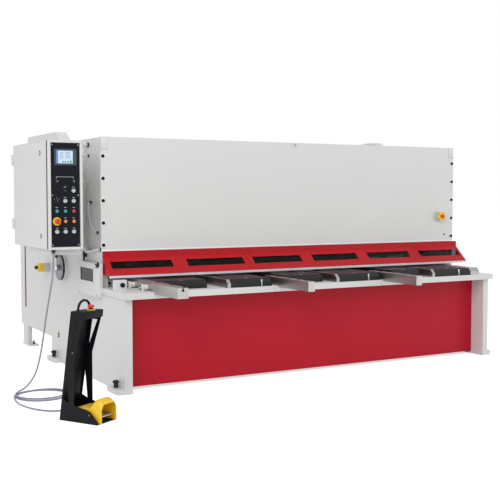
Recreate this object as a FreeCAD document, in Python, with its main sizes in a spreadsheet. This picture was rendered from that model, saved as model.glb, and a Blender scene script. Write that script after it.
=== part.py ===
import FreeCAD, Part
import math
import os
import re

import Sketcher

# Hydraulic swing beam shear, 3.1 m class, as a parametric document in millimetres.
# X runs along the machine, Y from the operator's side to the rear, Z up from the floor.
# Machine zero is mid length, the front face of the two side frames and the floor.

doc = FreeCAD.newDocument("swing_beam_shear")
sheet = doc.addObject("Spreadsheet::Sheet", "sizes")
next_row = 1
cells = set()
node_objects = []


def cell(name):
    """Row of the sheet for a named size, made when the name is first used."""
    global next_row
    if name not in cells:
        sheet.set(f"A{next_row}", name)
        sheet.set(f"B{next_row}", str(globals()[name]))
        sheet.setAlias(f"B{next_row}", name)
        sheet.recompute()
        cells.add(name)
        next_row += 1
    return name


def plain(expression):
    """Write out derived sizes, so that only names of cells are left."""
    def spell(match):
        known = globals()[match.group(1)]
        return f"({plain(known)})" if isinstance(known, str) else cell(match.group(1))
    return re.sub(r"\b([a-z]+_[a-z_]+)\b", spell, str(expression))


def bound(expression):
    """Point every named size in an expression at the sheet."""
    return re.sub(r"\b([a-z]+_[a-z_]+)\b", r"sizes.\1", plain(expression))


def value(expression):
    """Number that an expression of named sizes stands for."""
    return float(sheet.evalExpression(plain(expression)))


def bind(item, path, expression):
    item.setExpression(path, bound(expression))


def put(item, place):
    """Bind the three coordinates of an object's place."""
    for letter, expression in zip("xyz", place):
        bind(item, f"Placement.Base.{letter}", expression)


def block(name, place, extent):
    """Box from its low corner and its three lengths."""
    item = doc.addObject("Part::Box", name)
    for path, expression in zip(("Length", "Width", "Height"), extent):
        bind(item, path, expression)
    put(item, place)
    return item


def rod(name, axis, place, radius, length):
    """Round bar from the middle of its low end, along X, Y or Z."""
    item = doc.addObject("Part::Cylinder", name)
    turns = {"X": (Vector(0, 1, 0), 90), "Y": (Vector(1, 0, 0), -90), "Z": (Vector(0, 0, 1), 0)}
    item.Placement = FreeCAD.Placement(Vector(), FreeCAD.Rotation(*turns[axis]))
    bind(item, "Radius", radius)
    bind(item, "Height", length)
    put(item, place)
    return item


def many_sided(name, axis, place, radius, length, sides=12):
    """Bar with flat sides, for hexagons and for small round parts with few facets."""
    item = doc.addObject("Part::Prism", name)
    turns = {"X": (Vector(0, 1, 0), 90), "Y": (Vector(1, 0, 0), -90), "Z": (Vector(0, 0, 1), 0)}
    item.Placement = FreeCAD.Placement(Vector(), FreeCAD.Rotation(*turns[axis]))
    item.Polygon = sides
    bind(item, "Circumradius", radius)
    bind(item, "Height", length)
    put(item, place)
    return item


def cut(name, base, *tools):
    item = doc.addObject("Part::Cut", name)
    item.Base = base
    item.Tool = tools[0] if len(tools) == 1 else fuse(name + "_tools", *tools)
    return item


def fuse(name, *pieces):
    item = doc.addObject("Part::MultiFuse", name)
    item.Shapes = list(pieces)
    item.Refine = True
    return item


def group(name, *pieces):
    """Like pieces on one body, kept as separate solids."""
    item = doc.addObject("Part::Compound", name)
    item.Links = list(pieces)
    return item


def outline(sketch, corners):
    """Closed polygon whose corners are bound to named sizes."""
    points = [Vector(value(across), value(up), 0) for across, up in corners]
    first = sketch.GeometryCount
    count = len(points)
    for index in range(count):
        sketch.addGeometry(Part.LineSegment(points[index], points[(index + 1) % count]), False)
    for index in range(count):
        following = first + (index + 1) % count
        sketch.addConstraint(Sketcher.Constraint("Coincident", first + index, 2, following, 1))
    for index, corner in enumerate(corners):
        for kind, expression in zip(("DistanceX", "DistanceY"), corner):
            rule = Sketcher.Constraint(kind, -1, 1, first + index, 1, value(expression))
            number = sketch.addConstraint(rule)
            bind(sketch, f"Constraints[{number}]", expression)


def ring(sketch, across, up, radius):
    """Circle bound to named sizes."""
    middle = Vector(value(across), value(up), 0)
    index = sketch.addGeometry(Part.Circle(middle, Vector(0, 0, 1), value(radius)), False)
    rules = (("DistanceX", across, middle.x), ("DistanceY", up, middle.y))
    for kind, expression, number in rules:
        rule = sketch.addConstraint(Sketcher.Constraint(kind, -1, 1, index, 3, number))
        bind(sketch, f"Constraints[{rule}]", expression)
    rule = sketch.addConstraint(Sketcher.Constraint("Radius", index, value(radius)))
    bind(sketch, f"Constraints[{rule}]", radius)


PLANES = {"X": "YZ_Plane", "Y": "XZ_Plane", "Z": "XY_Plane"}
SIDE_SIGN = {"X": 1, "Y": -1, "Z": 1}


def new_sketch(body, axis, start):
    """Sketch on the body's plane square to an axis, at a distance along it."""
    sketch = body.newObject("Sketcher::SketchObject", body.Name + "_sketch")
    plane = [item for item in body.Origin.OriginFeatures if item.Role == PLANES[axis]][0]
    sketch.AttachmentSupport = [(plane, "")]
    sketch.MapMode = "FlatFace"
    bind(sketch, "AttachmentOffset.Base.z", f"{SIDE_SIGN[axis]} * ({start})")
    return sketch


def prism(name, axis, start, length, corners, openings=(), holes=()):
    """Body made by one pad along an axis, with openings and round holes through it."""
    body = doc.addObject("PartDesign::Body", name)
    sketch = new_sketch(body, axis, start)
    outline(sketch, corners)
    for opening in openings:
        outline(sketch, opening)
    for hole in holes:
        ring(sketch, *hole)
    pad = body.newObject("PartDesign::Pad", name + "_pad")
    pad.Profile = sketch
    bind(pad, "Length", length)
    pad.Reversed = SIDE_SIGN[axis] < 0
    sketch.Visibility = False
    body.Tip = pad
    return body


def round_corners(body, axis, corners, radius):
    """Fillet the edges that run along an axis through the given corners."""
    body.recompute(True)
    base = body.Tip
    along = {"X": 0, "Y": 1, "Z": 2}[axis]
    wanted = [(value(across), value(up)) for across, up in corners]
    names = []
    for number, edge in enumerate(base.Shape.Edges, 1):
        ends = [vertex.Point for vertex in edge.Vertexes]
        flat = [[end[k] for k in range(3) if k != along] for end in ends]
        if len(ends) == 2 and math.dist(flat[0], flat[1]) < 0.01:
            if any(math.dist(flat[0], corner) < 0.5 for corner in wanted):
                names.append(f"Edge{number}")
    fillet = body.newObject("PartDesign::Fillet", body.Name + "_fillet")
    fillet.Base = (base, names)
    bind(fillet, "Radius", radius)
    body.Tip = fillet
    return body


def node(item, label, turn=None, place=("0", "0", "0")):
    """Name a finished sub-part and set it in the row's frame."""
    item.Label = label
    if turn:
        bind(item, "Placement.Rotation.Angle", turn)
    zero = ("origin_x", "origin_y", "origin_z")
    moved = item.TypeId in ("Part::Box", "Part::Cylinder", "Part::Prism")
    holder = group(label + "_set", item) if moved else item
    holder.Label = label
    put(holder, [f"{shift} + ({offset})" for shift, offset in zip(zero, place)])
    node_objects.append((holder, label))
    return holder


def tube(name, points, radius):
    """Tube along straight runs joined by tangent arcs, as large as the runs allow.

    Its section has flat sides and the same area as a circle of the given radius.
    """
    radii = []
    edges = []
    start = points[0]
    for before, corner, after in zip(points, points[1:], points[2:]):
        arrive = (corner - before).normalize()
        leave = (after - corner).normalize()
        turn = arrive.getAngle(leave)
        reach = arc_share * min((corner - before).Length, (after - corner).Length)
        radii.append(reach / math.tan(turn / 2))
        first = corner - arrive * reach
        last = corner + leave * reach
        bulge = radii[-1] * (1 / math.cos(turn / 2) - 1)
        middle = corner + (leave - arrive).normalize() * bulge
        edges.append(Part.LineSegment(start, first).toShape())
        edges.append(Part.Arc(first, middle, last).toShape())
        start = last
    edges.append(Part.LineSegment(start, points[-1]).toShape())
    path = Part.Wire(edges)
    heading = (points[1] - points[0]).normalize()
    across = heading.cross(Vector(0, 1, 1)).normalize()
    share = 2 * math.pi / tube_sides
    corner_radius = radius * math.sqrt(share / math.sin(share))
    corners = []
    for index in range(tube_sides + 1):
        turn = FreeCAD.Rotation(heading, 360 * index / tube_sides)
        corners.append(points[0] + turn.multVec(across) * corner_radius)
    solid = path.makePipeShell([Part.makePolygon(corners)], True, False)
    wanted = math.pi * radius ** 2 * path.Length
    print(name, "length", round(path.Length), "radii", [round(number) for number in radii],
          "volume share", round(solid.Volume / wanted, 4))
    item = doc.addObject("Part::Feature", name)
    item.Shape = solid
    return item


Vector = FreeCAD.Vector
arc_share = 0.45
tube_sides = 8

origin_x = 283.091
origin_y = -974.0622
origin_z = 0

# Side frames: two thick plates with a notch for the table and a sloping shoulder
frame_outer = 1700
frame_thick = 55
notch_depth = 478
table_under = 675
shoulder_level = 985
neck_front = 862
neck_round = 110
slope_foot = 1502
slope_head_y = 1460
slope_head_z = 1876
crown_front = 1555
frame_top = 1936
main_rear = 1722
skid_height = 189
pivot_y = 1370
pivot_z = 811
pivot_radius = 45
running_gap = 0.08

frame_outline = [
    ("0", "0"), ("0", "table_under"), ("notch_depth", "table_under"),
    ("notch_depth", "shoulder_level"), ("neck_front", "shoulder_level"),
    ("neck_front", "slope_foot"), ("slope_head_y", "slope_head_z"),
    ("crown_front", "frame_top"), ("main_rear", "frame_top"), ("main_rear", "0")]

crown_width = 95
crown_foot = 1780
crown_fore = 1400
crown_fore_top = 1838
lug_reach = 63
lug_length = 235
lug_thick = 36
lug_round = 40
front_lug_y = 0
rear_lug_y = 1460
bolt_setback = 106
bolt_radius = 17
bolt_head_radius = 24
bolt_rise = 52
bolt_head_thick = 16

crown_outline = [
    ("crown_fore", "crown_foot"), ("crown_fore", "crown_fore_top"),
    ("slope_head_y", "slope_head_z"), ("crown_front", "frame_top"), ("main_rear", "frame_top"),
    ("main_rear", "crown_foot")]


def side_frame(label, side):
    """One side frame with its crown, pivot bore and two levelling lugs."""
    start = "-frame_outer" if side < 0 else "frame_outer - frame_thick"
    bore = [("pivot_y", "pivot_z", "pivot_radius + running_gap")]
    plate = prism(label + "_plate", "X", start, "frame_thick", frame_outline, holes=bore)
    round_corners(plate, "X", [("neck_front", "shoulder_level")], "neck_round")
    crown_start = "-frame_outer" if side < 0 else "frame_outer - crown_width"
    crown = prism(label + "_crown", "X", crown_start, "crown_width", crown_outline)
    lugs = []
    for index, front in enumerate(("front_lug_y", "rear_lug_y")):
        end = "-frame_outer - lug_reach" if side < 0 else "frame_outer + lug_reach"
        root = "-frame_outer" if side < 0 else "frame_outer"
        ends = [(end, front), (end, f"{front} + lug_length")]
        corners = [(root, front), *ends, (root, f"{front} + lug_length")]
        lug = prism(f"{label}_lug_{index}", "Z", "0", "lug_thick", corners)
        lugs.append(round_corners(lug, "Z", ends, "lug_round"))
    return node(fuse(label, plate, crown, *lugs), label)


side_frame("side_frame_left", -1)
side_frame("side_frame_right", 1)

# Levelling bolts stand on the lugs
bolts = []
for side in (-1, 1):
    for index, front in enumerate(("front_lug_y", "rear_lug_y")):
        name = f"level_bolt_{'left' if side < 0 else 'right'}_{index}"
        middle = (f"{side} * (frame_outer + lug_reach / 2)", f"{front} + bolt_setback")
        shank = many_sided(name + "_shank", "Z", (*middle, "lug_thick"), "bolt_radius",
                           "bolt_rise - bolt_head_thick")
        head = many_sided(name + "_head", "Z",
                          (*middle, "lug_thick + bolt_rise - bolt_head_thick"),
                          "bolt_head_radius", "bolt_head_thick", 6)
        bolts.append(fuse(name, shank, head))
node(group("levelling_bolts", *bolts), "levelling_bolts")

# Rear side guards: folded sheet panels behind the frames, with a sight slot and a rear leg
guard_thick = 40
guard_rear = 2688
guard_bend = 1150
guard_top_rear = 2373
slot_front = 2500
slot_width = 52
slot_foot = 362
slot_head = 1100
panel_sheet = 3
leg_front = 2463
leg_width = 155
leg_foot = 16
foot_reach = 40
foot_depth = 90
anchor_x = 1650
anchor_radius = 9
liner_lap = 12


def rear_guard(label, side):
    """Folded sheet panel, open to the inside, on a leg with a drilled foot."""
    start = "-frame_outer" if side < 0 else "frame_outer - guard_thick"
    corners = [("main_rear", "skid_height"), ("guard_rear", "skid_height"),
               ("guard_rear", "guard_bend"), ("guard_top_rear", "frame_top"),
               ("main_rear", "frame_top")]
    slot = [("slot_front", "slot_foot"), ("slot_front + slot_width", "slot_foot"),
            ("slot_front + slot_width", "slot_head"), ("slot_front", "slot_head")]
    panel = prism(label + "_panel", "X", start, "guard_thick", corners, openings=[slot])
    hollow_corners = [
        ("main_rear + panel_sheet", "skid_height + panel_sheet"),
        ("guard_rear - panel_sheet", "skid_height + panel_sheet"),
        ("guard_rear - panel_sheet", "guard_bend - panel_sheet"),
        ("guard_top_rear - panel_sheet", "frame_top - panel_sheet"),
        ("main_rear + panel_sheet", "frame_top - panel_sheet")]
    inside = f"{start} + panel_sheet" if side < 0 else start
    hollow = prism(label + "_hollow", "X", inside, "guard_thick - panel_sheet", hollow_corners)
    leg = block(label + "_leg", (start, "leg_front", "leg_foot"),
                ("guard_thick", "leg_width", "skid_height - leg_foot"))
    low = "-frame_outer" if side < 0 else "frame_outer - foot_depth"
    foot = block(label + "_foot", (low, "leg_front - foot_reach", "0"),
                 ("foot_depth", "leg_width + 2 * foot_reach", "leg_foot"))
    anchors = []
    for mark, along in (("front", "leg_front - foot_reach / 2"),
                        ("rear", "leg_front + leg_width + foot_reach / 2")):
        anchors.append(rod(f"{label}_anchor_{mark}", "Z", (f"{side} * anchor_x", along, "-1"),
                           "anchor_radius", "leg_foot + 2"))
    sheet_panel = cut(label + "_sheet", panel, hollow)
    return node(fuse(label, sheet_panel, leg, cut(label + "_drilled", foot, *anchors)), label)


rear_guard("rear_guard_left", -1)
rear_guard("rear_guard_right", 1)

# Red strips back the sight slots
liners = []
for side in (-1, 1):
    low = "-frame_outer + panel_sheet" if side < 0 else "frame_outer - 2 * panel_sheet"
    liners.append(block(f"slot_liner_{'left' if side < 0 else 'right'}",
                        (low, "slot_front - liner_lap", "slot_foot - liner_lap"),
                        ("panel_sheet", "slot_width + 2 * liner_lap",
                         "slot_head - slot_foot + 2 * liner_lap")))
node(group("slot_liners", *liners), "slot_liners")

# Table: a deep bed weldment whose top plate covers the front posts
cover_front = 440
table_front = -41
table_overhang = 14
table_end = "frame_outer + table_overhang"
bed_top = 721
cut_line = 600
lower_blade_thick = 25
lower_blade_height = 80
table_level = 782
bed_web_front = 540
bed_web_rear = 582
bed_foot = 30
seat_depth = 60
ledge_gap = 3
gusset_left_x = -481
gusset_right_x = 517
gusset_thick = 12
gusset_head = 31
gusset_toe = 12
gusset_top = 709
gusset_foot = 679
bed_outline = [
    ("0", "table_under"), ("0", "bed_top"),
    ("cut_line - lower_blade_thick", "bed_top"),
    ("cut_line - lower_blade_thick", "table_level - lower_blade_height"),
    ("cut_line - ledge_gap", "table_level - lower_blade_height"),
    ("cut_line - ledge_gap", "table_level - lower_blade_height - seat_depth"),
    ("bed_web_rear", "table_level - lower_blade_height - 2 * seat_depth"),
    ("bed_web_rear", "bed_foot"), ("bed_web_front", "bed_foot"),
    ("bed_web_front", "table_under")]
bed = prism("table_bed_core", "X", "-frame_outer + frame_thick",
            "2 * (frame_outer - frame_thick)", bed_outline)
edge_bar = block("table_edge_bar", ("-table_end", "table_front", "table_under"),
                 ("2 * table_end", "-table_front", "bed_top - table_under"))
shoulders = []
for side in (-1, 1):
    name = f"table_shoulder_{'left' if side < 0 else 'right'}"
    low = "-table_end" if side < 0 else "frame_outer - frame_thick"
    shoulders.append(block(name, (low, "0", "table_under"),
                           ("table_end - frame_outer + frame_thick", "cover_front",
                            "bed_top - table_under")))
gussets = []
for middle in ("gusset_left_x", "gusset_right_x"):
    corners = [(f"{middle} - gusset_head", "gusset_top"), (f"{middle} + gusset_head", "gusset_top"),
               (f"{middle} + gusset_toe", "gusset_foot"),
               (f"{middle} - gusset_toe", "gusset_foot")]
    gussets.append(prism(f"{middle}_plate", "Y", "table_front - gusset_thick", "gusset_thick",
                         corners))
node(fuse("table_bed", bed, edge_bar, *shoulders, *gussets), "table_bed")

# Red skirt closes the front of the bed
skirt_front = 146
skirt_thick = 14
skirt_foot = 21
skirt = block("front_skirt", ("-frame_outer + frame_thick", "skirt_front", "skirt_foot"),
              ("2 * (frame_outer - frame_thick)", "skirt_thick", "table_under - skirt_foot"))
node(skirt, "front_skirt")

# Ribs stiffen the bed between skirt and web
rib_thick = 20
rib_count = 5
rib_foot = 60
ribs = []
for index in range(int(value("rib_count"))):
    share = f"({index} + 1) / (rib_count + 1)"
    low = f"-frame_outer + 2 * frame_outer * {share} - rib_thick / 2"
    ribs.append(block(f"bed_rib_{index}", (low, "skirt_front + skirt_thick", "rib_foot"),
                      ("rib_thick", "bed_web_front - skirt_front - skirt_thick",
                       "table_under - rib_foot")))
node(group("bed_ribs", *ribs), "bed_ribs")

# Black table plates, long ones to the table's edge and short ones set back. The long ones
# have bare metal end pieces.
plate_bevel = 30
long_plate_front = -38
short_plate_front = 60
long_a_start = -906
long_a_end = -530
long_b_start = 65
long_b_end = 485
long_c_start = 1038
long_c_end = 1560
short_a_start = -1410
short_a_end = -1028
short_b_start = -353
short_b_end = 0
short_c_start = 696
short_c_end = 982
end_piece = 26
right_cap = 100


def table_plate(name, start, end, front):
    rear = "cut_line - lower_blade_thick"
    corners = [(front, "bed_top"), (front, "table_level - plate_bevel"),
               (f"{front} + plate_bevel", "table_level"), (rear, "table_level"),
               (rear, "bed_top")]
    return prism(name, "X", start, f"{end} - ({start})", corners)


long_plates = [table_plate(f"long_plate_{mark}", f"long_{mark}_start + end_piece", end,
                           "long_plate_front")
               for mark, end in (("a", "long_a_end"), ("b", "long_b_end"),
                                 ("c", "(long_c_end - right_cap)"))]
node(group("table_plates_long", *long_plates), "table_plates_long")
short_plates = [table_plate(f"short_plate_{mark}", f"short_{mark}_start", f"short_{mark}_end",
                            "short_plate_front") for mark in "abc"]
node(group("table_plates_short", *short_plates), "table_plates_short")
end_plates = [table_plate(f"end_plate_{mark}", f"long_{mark}_start",
                          f"(long_{mark}_start + end_piece)", "long_plate_front")
              for mark in "abc"]
end_plates.append(table_plate("end_plate_right", "long_c_end - right_cap", "long_c_end",
                              "long_plate_front"))
node(group("plate_ends", *end_plates), "plate_ends")

# Lower blade stands in its seat at the cutting line
blade_end_gap = 80
blade_half_length = "frame_outer - frame_thick - blade_end_gap"
lower_blade = block("lower_blade",
                    ("-blade_half_length", "cut_line - lower_blade_thick",
                     "table_level - lower_blade_height"),
                    ("2 * blade_half_length", "lower_blade_thick", "lower_blade_height"))
node(lower_blade, "lower_blade")

# Swing beam: raked upper blade, front plate, top flange, ribs and two arms to the pivot
blade_gap = 10
upper_blade_thick = 25
upper_blade_height = 90
blade_opening = 16
blade_rake = 76
beam_plate = 60
beam_top = 1240
beam_recess = 14
beam_depth = 300
beam_flange = 40
arm_thick = 50
arm_gap = 10
arm_round = 120
beam_rib_thick = 25
beam_ribs = 4
shaft_inset = 6
upper_front = "cut_line + blade_gap"
upper_low = "table_level + blade_opening"
blade_corners = [
    ("-blade_half_length", upper_low),
    ("blade_half_length", f"{upper_low} + blade_rake"),
    ("blade_half_length", f"{upper_low} + blade_rake + upper_blade_height"),
    ("-blade_half_length", f"{upper_low} + upper_blade_height")]
upper_blade = prism("upper_blade", "Y", upper_front, "upper_blade_thick", blade_corners)
node(upper_blade, "upper_blade")

beam_half = "frame_outer - frame_thick - arm_gap"
plate_front = f"{upper_front} + upper_blade_thick"
plate_low = f"{upper_low} + beam_recess"
face_corners = [
    (f"-({beam_half})", plate_low), (beam_half, f"{plate_low} + blade_rake"),
    (beam_half, "beam_top"), (f"-({beam_half})", "beam_top")]
beam_face = prism("beam_face", "Y", plate_front, "beam_plate", face_corners)
beam_back = f"{plate_front} + beam_plate"
top_flange = block("beam_top_flange", (f"-({beam_half})", beam_back, "beam_top - beam_flange"),
                   (f"2 * ({beam_half})", "beam_depth", "beam_flange"))
low_flange = block("beam_low_flange",
                   (f"-({beam_half})", beam_back, f"{plate_low} + blade_rake"),
                   (f"2 * ({beam_half})", "beam_depth * 0.6", "beam_flange"))
arm_corners = [
    (beam_back, f"{plate_low} + blade_rake"), ("pivot_y", "pivot_z - arm_round"),
    ("pivot_y + arm_round", "pivot_z - arm_round / 2"),
    ("pivot_y + arm_round", "pivot_z + arm_round / 2"),
    ("pivot_y", "pivot_z + arm_round"), (f"{beam_back} + beam_depth", "beam_top"),
    (beam_back, "beam_top")]
arms = []
shafts = []
for side in (-1, 1):
    word = "left" if side < 0 else "right"
    start = f"-({beam_half})" if side < 0 else f"{beam_half} - arm_thick"
    arms.append(prism(f"beam_arm_{word}", "X", start, "arm_thick", arm_corners))
    low = "-frame_outer + shaft_inset" if side < 0 else f"{beam_half} - arm_thick"
    shafts.append(rod(f"pivot_shaft_{word}", "X", (low, "pivot_y", "pivot_z"), "pivot_radius",
                      "frame_thick + arm_gap + arm_thick - shaft_inset"))
beam_rib_list = []
for index in range(int(value("beam_ribs"))):
    low = f"-({beam_half}) + 2 * ({beam_half}) * ({index} + 1) / (beam_ribs + 1)"
    corners = [(beam_back, f"{plate_low} + blade_rake + beam_flange"),
               (f"{beam_back} + beam_depth * 0.6", f"{plate_low} + blade_rake + beam_flange"),
               (f"{beam_back} + beam_depth", "beam_top - beam_flange"),
               (beam_back, "beam_top - beam_flange")]
    beam_rib_list.append(prism(f"beam_rib_{index}", "X", low, "beam_rib_thick", corners))
node(fuse("swing_beam", beam_face, top_flange, low_flange, *arms, *shafts, *beam_rib_list),
     "swing_beam")

# Hold-down beam behind the hood, with cylinders whose rods carry the pads
hood_front = 470
hood_sheet = 4
holder_rear = 572
holder_foot = 941
holder_top = 1320
pad_count = 13
pad_end_inset = 260
pad_line = 525
pad_radius = 30
pad_thick = 22
pad_opening = 18
pad_rod_radius = 20
barrel_radius = 42
barrel_foot = 872
bore_head = 30
holder_front = "hood_front + hood_sheet"
holder = block("hold_down_beam",
               ("-frame_outer + frame_thick", holder_front, "holder_foot"),
               ("2 * (frame_outer - frame_thick)", f"holder_rear - ({holder_front})",
                "holder_top - holder_foot"))
barrels = []
pads = []
bores = []
for index in range(int(value("pad_count"))):
    middle = f"(2 * {index} / (pad_count - 1) - 1) * (frame_outer - pad_end_inset)"
    place = (middle, "pad_line")
    barrels.append(many_sided(f"barrel_{index}", "Z", (*place, "barrel_foot"), "barrel_radius",
                              "holder_foot - barrel_foot", 8))
    bores.append(many_sided(f"bore_{index}", "Z", (*place, "barrel_foot"),
                            "pad_rod_radius + running_gap",
                            "holder_foot - barrel_foot + bore_head", 8))
    rod_foot = "table_level + pad_opening + pad_thick"
    pad = many_sided(f"pad_{index}", "Z", (*place, "table_level + pad_opening"), "pad_radius",
                     "pad_thick", 8)
    stem = many_sided(f"pad_stem_{index}", "Z", (*place, rod_foot), "pad_rod_radius",
                      f"holder_foot - ({rod_foot})", 8)
    pads.append(fuse(f"hold_down_{index}", pad, stem))
node(cut("hold_down_beam_set", fuse("hold_down_body", holder, *barrels), *bores),
     "hold_down_beam")
node(group("hold_down_pads", *pads), "hold_down_pads")

# Front hood: a folded sheet box, open at the bottom and the rear
hood_lap = 2
hood_half = "frame_outer - hood_lap"
hood_foot = 988
hood_top = 1838
hood_inset = 20
fillet_gap = 4
hood_face = block("hood_face", ("-hood_half", "hood_front", "hood_foot"),
                  ("2 * hood_half", "hood_sheet", "hood_top - hood_foot"))
hood_roof = block("hood_roof", ("-hood_half + hood_inset", "hood_front + hood_sheet",
                                "hood_top - hood_sheet"),
                  ("2 * (hood_half - hood_inset)", "neck_front - hood_front - hood_sheet",
                   "hood_sheet"))
side_corners = [("hood_front + hood_sheet", "hood_foot"), ("neck_front", "hood_foot"),
                ("neck_front", "hood_top - hood_sheet"),
                ("hood_front + hood_sheet", "hood_top - hood_sheet")]
hood_sides = []
for side in (-1, 1):
    word = "left" if side < 0 else "right"
    low = "-hood_half + hood_inset" if side < 0 else "hood_half - hood_inset - hood_sheet"
    cheek_sheet = prism(f"hood_side_{word}", "X", low, "hood_sheet", side_corners)
    hood_sides.append(round_corners(cheek_sheet, "X", [("neck_front", "hood_foot")],
                                    "neck_round + fillet_gap"))
node(fuse("front_hood", hood_face, hood_roof, *hood_sides), "front_hood")

# Finger guard: bent sheet with windows, in a left and a right section
guard_sheet = 5
guard_lip_y = 331
guard_lip_z = 815
guard_flange = 47
guard_fold_z = "hood_foot - guard_flange"
guard_left_inset = 12
guard_left = "-frame_outer + guard_left_inset"
guard_split = -480
guard_right_reach = 44
guard_right = "frame_outer + guard_right_reach"
guard_joint = 4
pane_foot = 70
pane_tall = 72
left_pane_first = -1645
left_pane_pitch = 622
left_pane_long = 498
right_pane_first = -436
right_pane_pitch = 566
right_pane_long = 452
pane_lap = 10
pane_thick = 4
strip_tall = 18
strip_thick = 4
strip_inset = 1
flange_front = "hood_front - 1"
slope_angle = f"atan2(guard_fold_z - guard_lip_z; {flange_front} - guard_lip_y)"
sheet_back = f"guard_sheet / sin({slope_angle})"
guard_corners = [
    ("guard_lip_y", "guard_lip_z"), (flange_front, "guard_fold_z"),
    (flange_front, "hood_foot - 1"), (f"{flange_front} + guard_sheet", "hood_foot - 1"),
    (f"{flange_front} + guard_sheet", f"guard_fold_z - guard_sheet * 0.4"),
    (f"guard_lip_y + {sheet_back}", "guard_lip_z")]


def pane_openings(first, pitch, long, count):
    """Window outlines seen from the front, one for each pane."""
    low = f"guard_lip_z + pane_foot * sin({slope_angle})"
    high = f"guard_lip_z + (pane_foot + pane_tall) * sin({slope_angle})"
    result = []
    for index in range(count):
        start = f"{first} + {index} * {pitch}"
        result.append([(start, low), (f"{start} + {long}", low),
                       (f"{start} + {long}", high), (start, high)])
    return result


def finger_guard(label, start, end, panes):
    shell = prism(label + "_sheet", "X", start, f"{end} - ({start})", guard_corners)
    cheek_corners = [("guard_lip_y", "guard_lip_z"), (flange_front, "guard_fold_z"),
                     (flange_front, "guard_lip_z")]
    cutters = []
    for index, opening in enumerate(panes):
        cutters.append(prism(f"{label}_opening_{index}", "Y", "guard_lip_y - 20",
                             f"{flange_front} - guard_lip_y", opening))
    return shell, cheek_corners, cutters


left_shell, cheek, left_cutters = finger_guard(
    "finger_guard_left", "guard_left", "guard_split - guard_joint",
    pane_openings("left_pane_first", "left_pane_pitch", "left_pane_long", 2))
left_cheek = prism("guard_cheek_left", "X", "guard_left", "guard_sheet", cheek)
node(cut("finger_guard_left", fuse("finger_guard_left_all", left_shell, left_cheek),
         *left_cutters), "finger_guard_left")
right_shell, cheek, right_cutters = finger_guard(
    "finger_guard_right", "guard_split", "guard_right",
    pane_openings("right_pane_first", "right_pane_pitch", "right_pane_long", 4))
right_cheek = prism("guard_cheek_right", "X", "guard_right - guard_sheet", "guard_sheet", cheek)
node(cut("finger_guard_right", fuse("finger_guard_right_all", right_shell, right_cheek),
         *right_cutters), "finger_guard_right")


# Dark panes lie on the back of the guard's slope
def on_slope(along, depth):
    """Point along the guard's slope from the lip, and behind its front face."""
    return (f"guard_lip_y + ({along}) * cos({slope_angle}) + ({depth}) * sin({slope_angle})",
            f"guard_lip_z + ({along}) * sin({slope_angle}) - ({depth}) * cos({slope_angle})")


pane_low = "pane_foot - pane_lap"
pane_high = "pane_foot + pane_tall + pane_lap"
pane_back = "guard_sheet + pane_thick"
pane_corners = [on_slope(pane_low, "guard_sheet"), on_slope(pane_high, "guard_sheet"),
                on_slope(pane_high, pane_back), on_slope(pane_low, pane_back)]
panes = []
for index in range(2):
    start = f"left_pane_first + {index} * left_pane_pitch - pane_lap"
    panes.append(prism(f"pane_left_{index}", "X", start, "left_pane_long + 2 * pane_lap",
                       pane_corners))
for index in range(4):
    start = f"right_pane_first + {index} * right_pane_pitch - pane_lap"
    panes.append(prism(f"pane_right_{index}", "X", start, "right_pane_long + 2 * pane_lap",
                       pane_corners))
node(group("guard_windows", *panes), "guard_windows")

# Pale wear strips hang under the guard's lip
strips = []
for index, (low, high) in enumerate((("guard_left", "guard_split - guard_joint"),
                                     ("guard_split", "guard_right"))):
    strips.append(block(f"guard_strip_{index}", (low, "guard_lip_y + strip_inset",
                                                 "guard_lip_z - strip_tall"),
                        (f"{high} - ({low})", "strip_thick", "strip_tall")))
node(group("guard_strip", *strips), "guard_strip")

# Squaring arm and two support arms rest on the bed and reach out in front of it
arm_drop = 11
squaring_left = -1496
squaring_width = 80
squaring_reach = -440
squaring_rear = 505
support_a_left = -475
support_b_left = 515
support_width = 54
support_reach = -466
support_rear = 163


def arm(name, left, width, reach, rear):
    corners = [(reach, "bed_top - arm_drop"), ("table_front", "bed_top - arm_drop"),
               ("table_front", "bed_top"), (rear, "bed_top"), (rear, "table_level"),
               (reach, "table_level")]
    return prism(name, "X", left, width, corners)


track_mouth = 10
track_width = 20
track_depth = 24
track_neck = 10
track_middle = "squaring_left + squaring_width / 2"
track_long = "squaring_rear - squaring_reach + 2"
track = [block("track_neck_cut", (f"{track_middle} - track_mouth / 2", "squaring_reach - 1",
                                  "table_level - track_neck"),
               ("track_mouth", track_long, "track_neck + 1")),
         block("track_base_cut", (f"{track_middle} - track_width / 2", "squaring_reach - 1",
                                  "table_level - track_depth"),
               ("track_width", track_long, "track_depth - track_neck"))]
squaring = arm("squaring_bar", "squaring_left", "squaring_width", "squaring_reach",
               "squaring_rear")
node(cut("squaring_arm", squaring, *track), "squaring_arm")
support_arms = [arm("support_arm_a", "support_a_left", "support_width", "support_reach",
                    "support_rear"),
                arm("support_arm_b", "support_b_left", "support_width", "support_reach",
                    "support_rear")]
node(group("support_arms", *support_arms), "support_arms")

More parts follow.
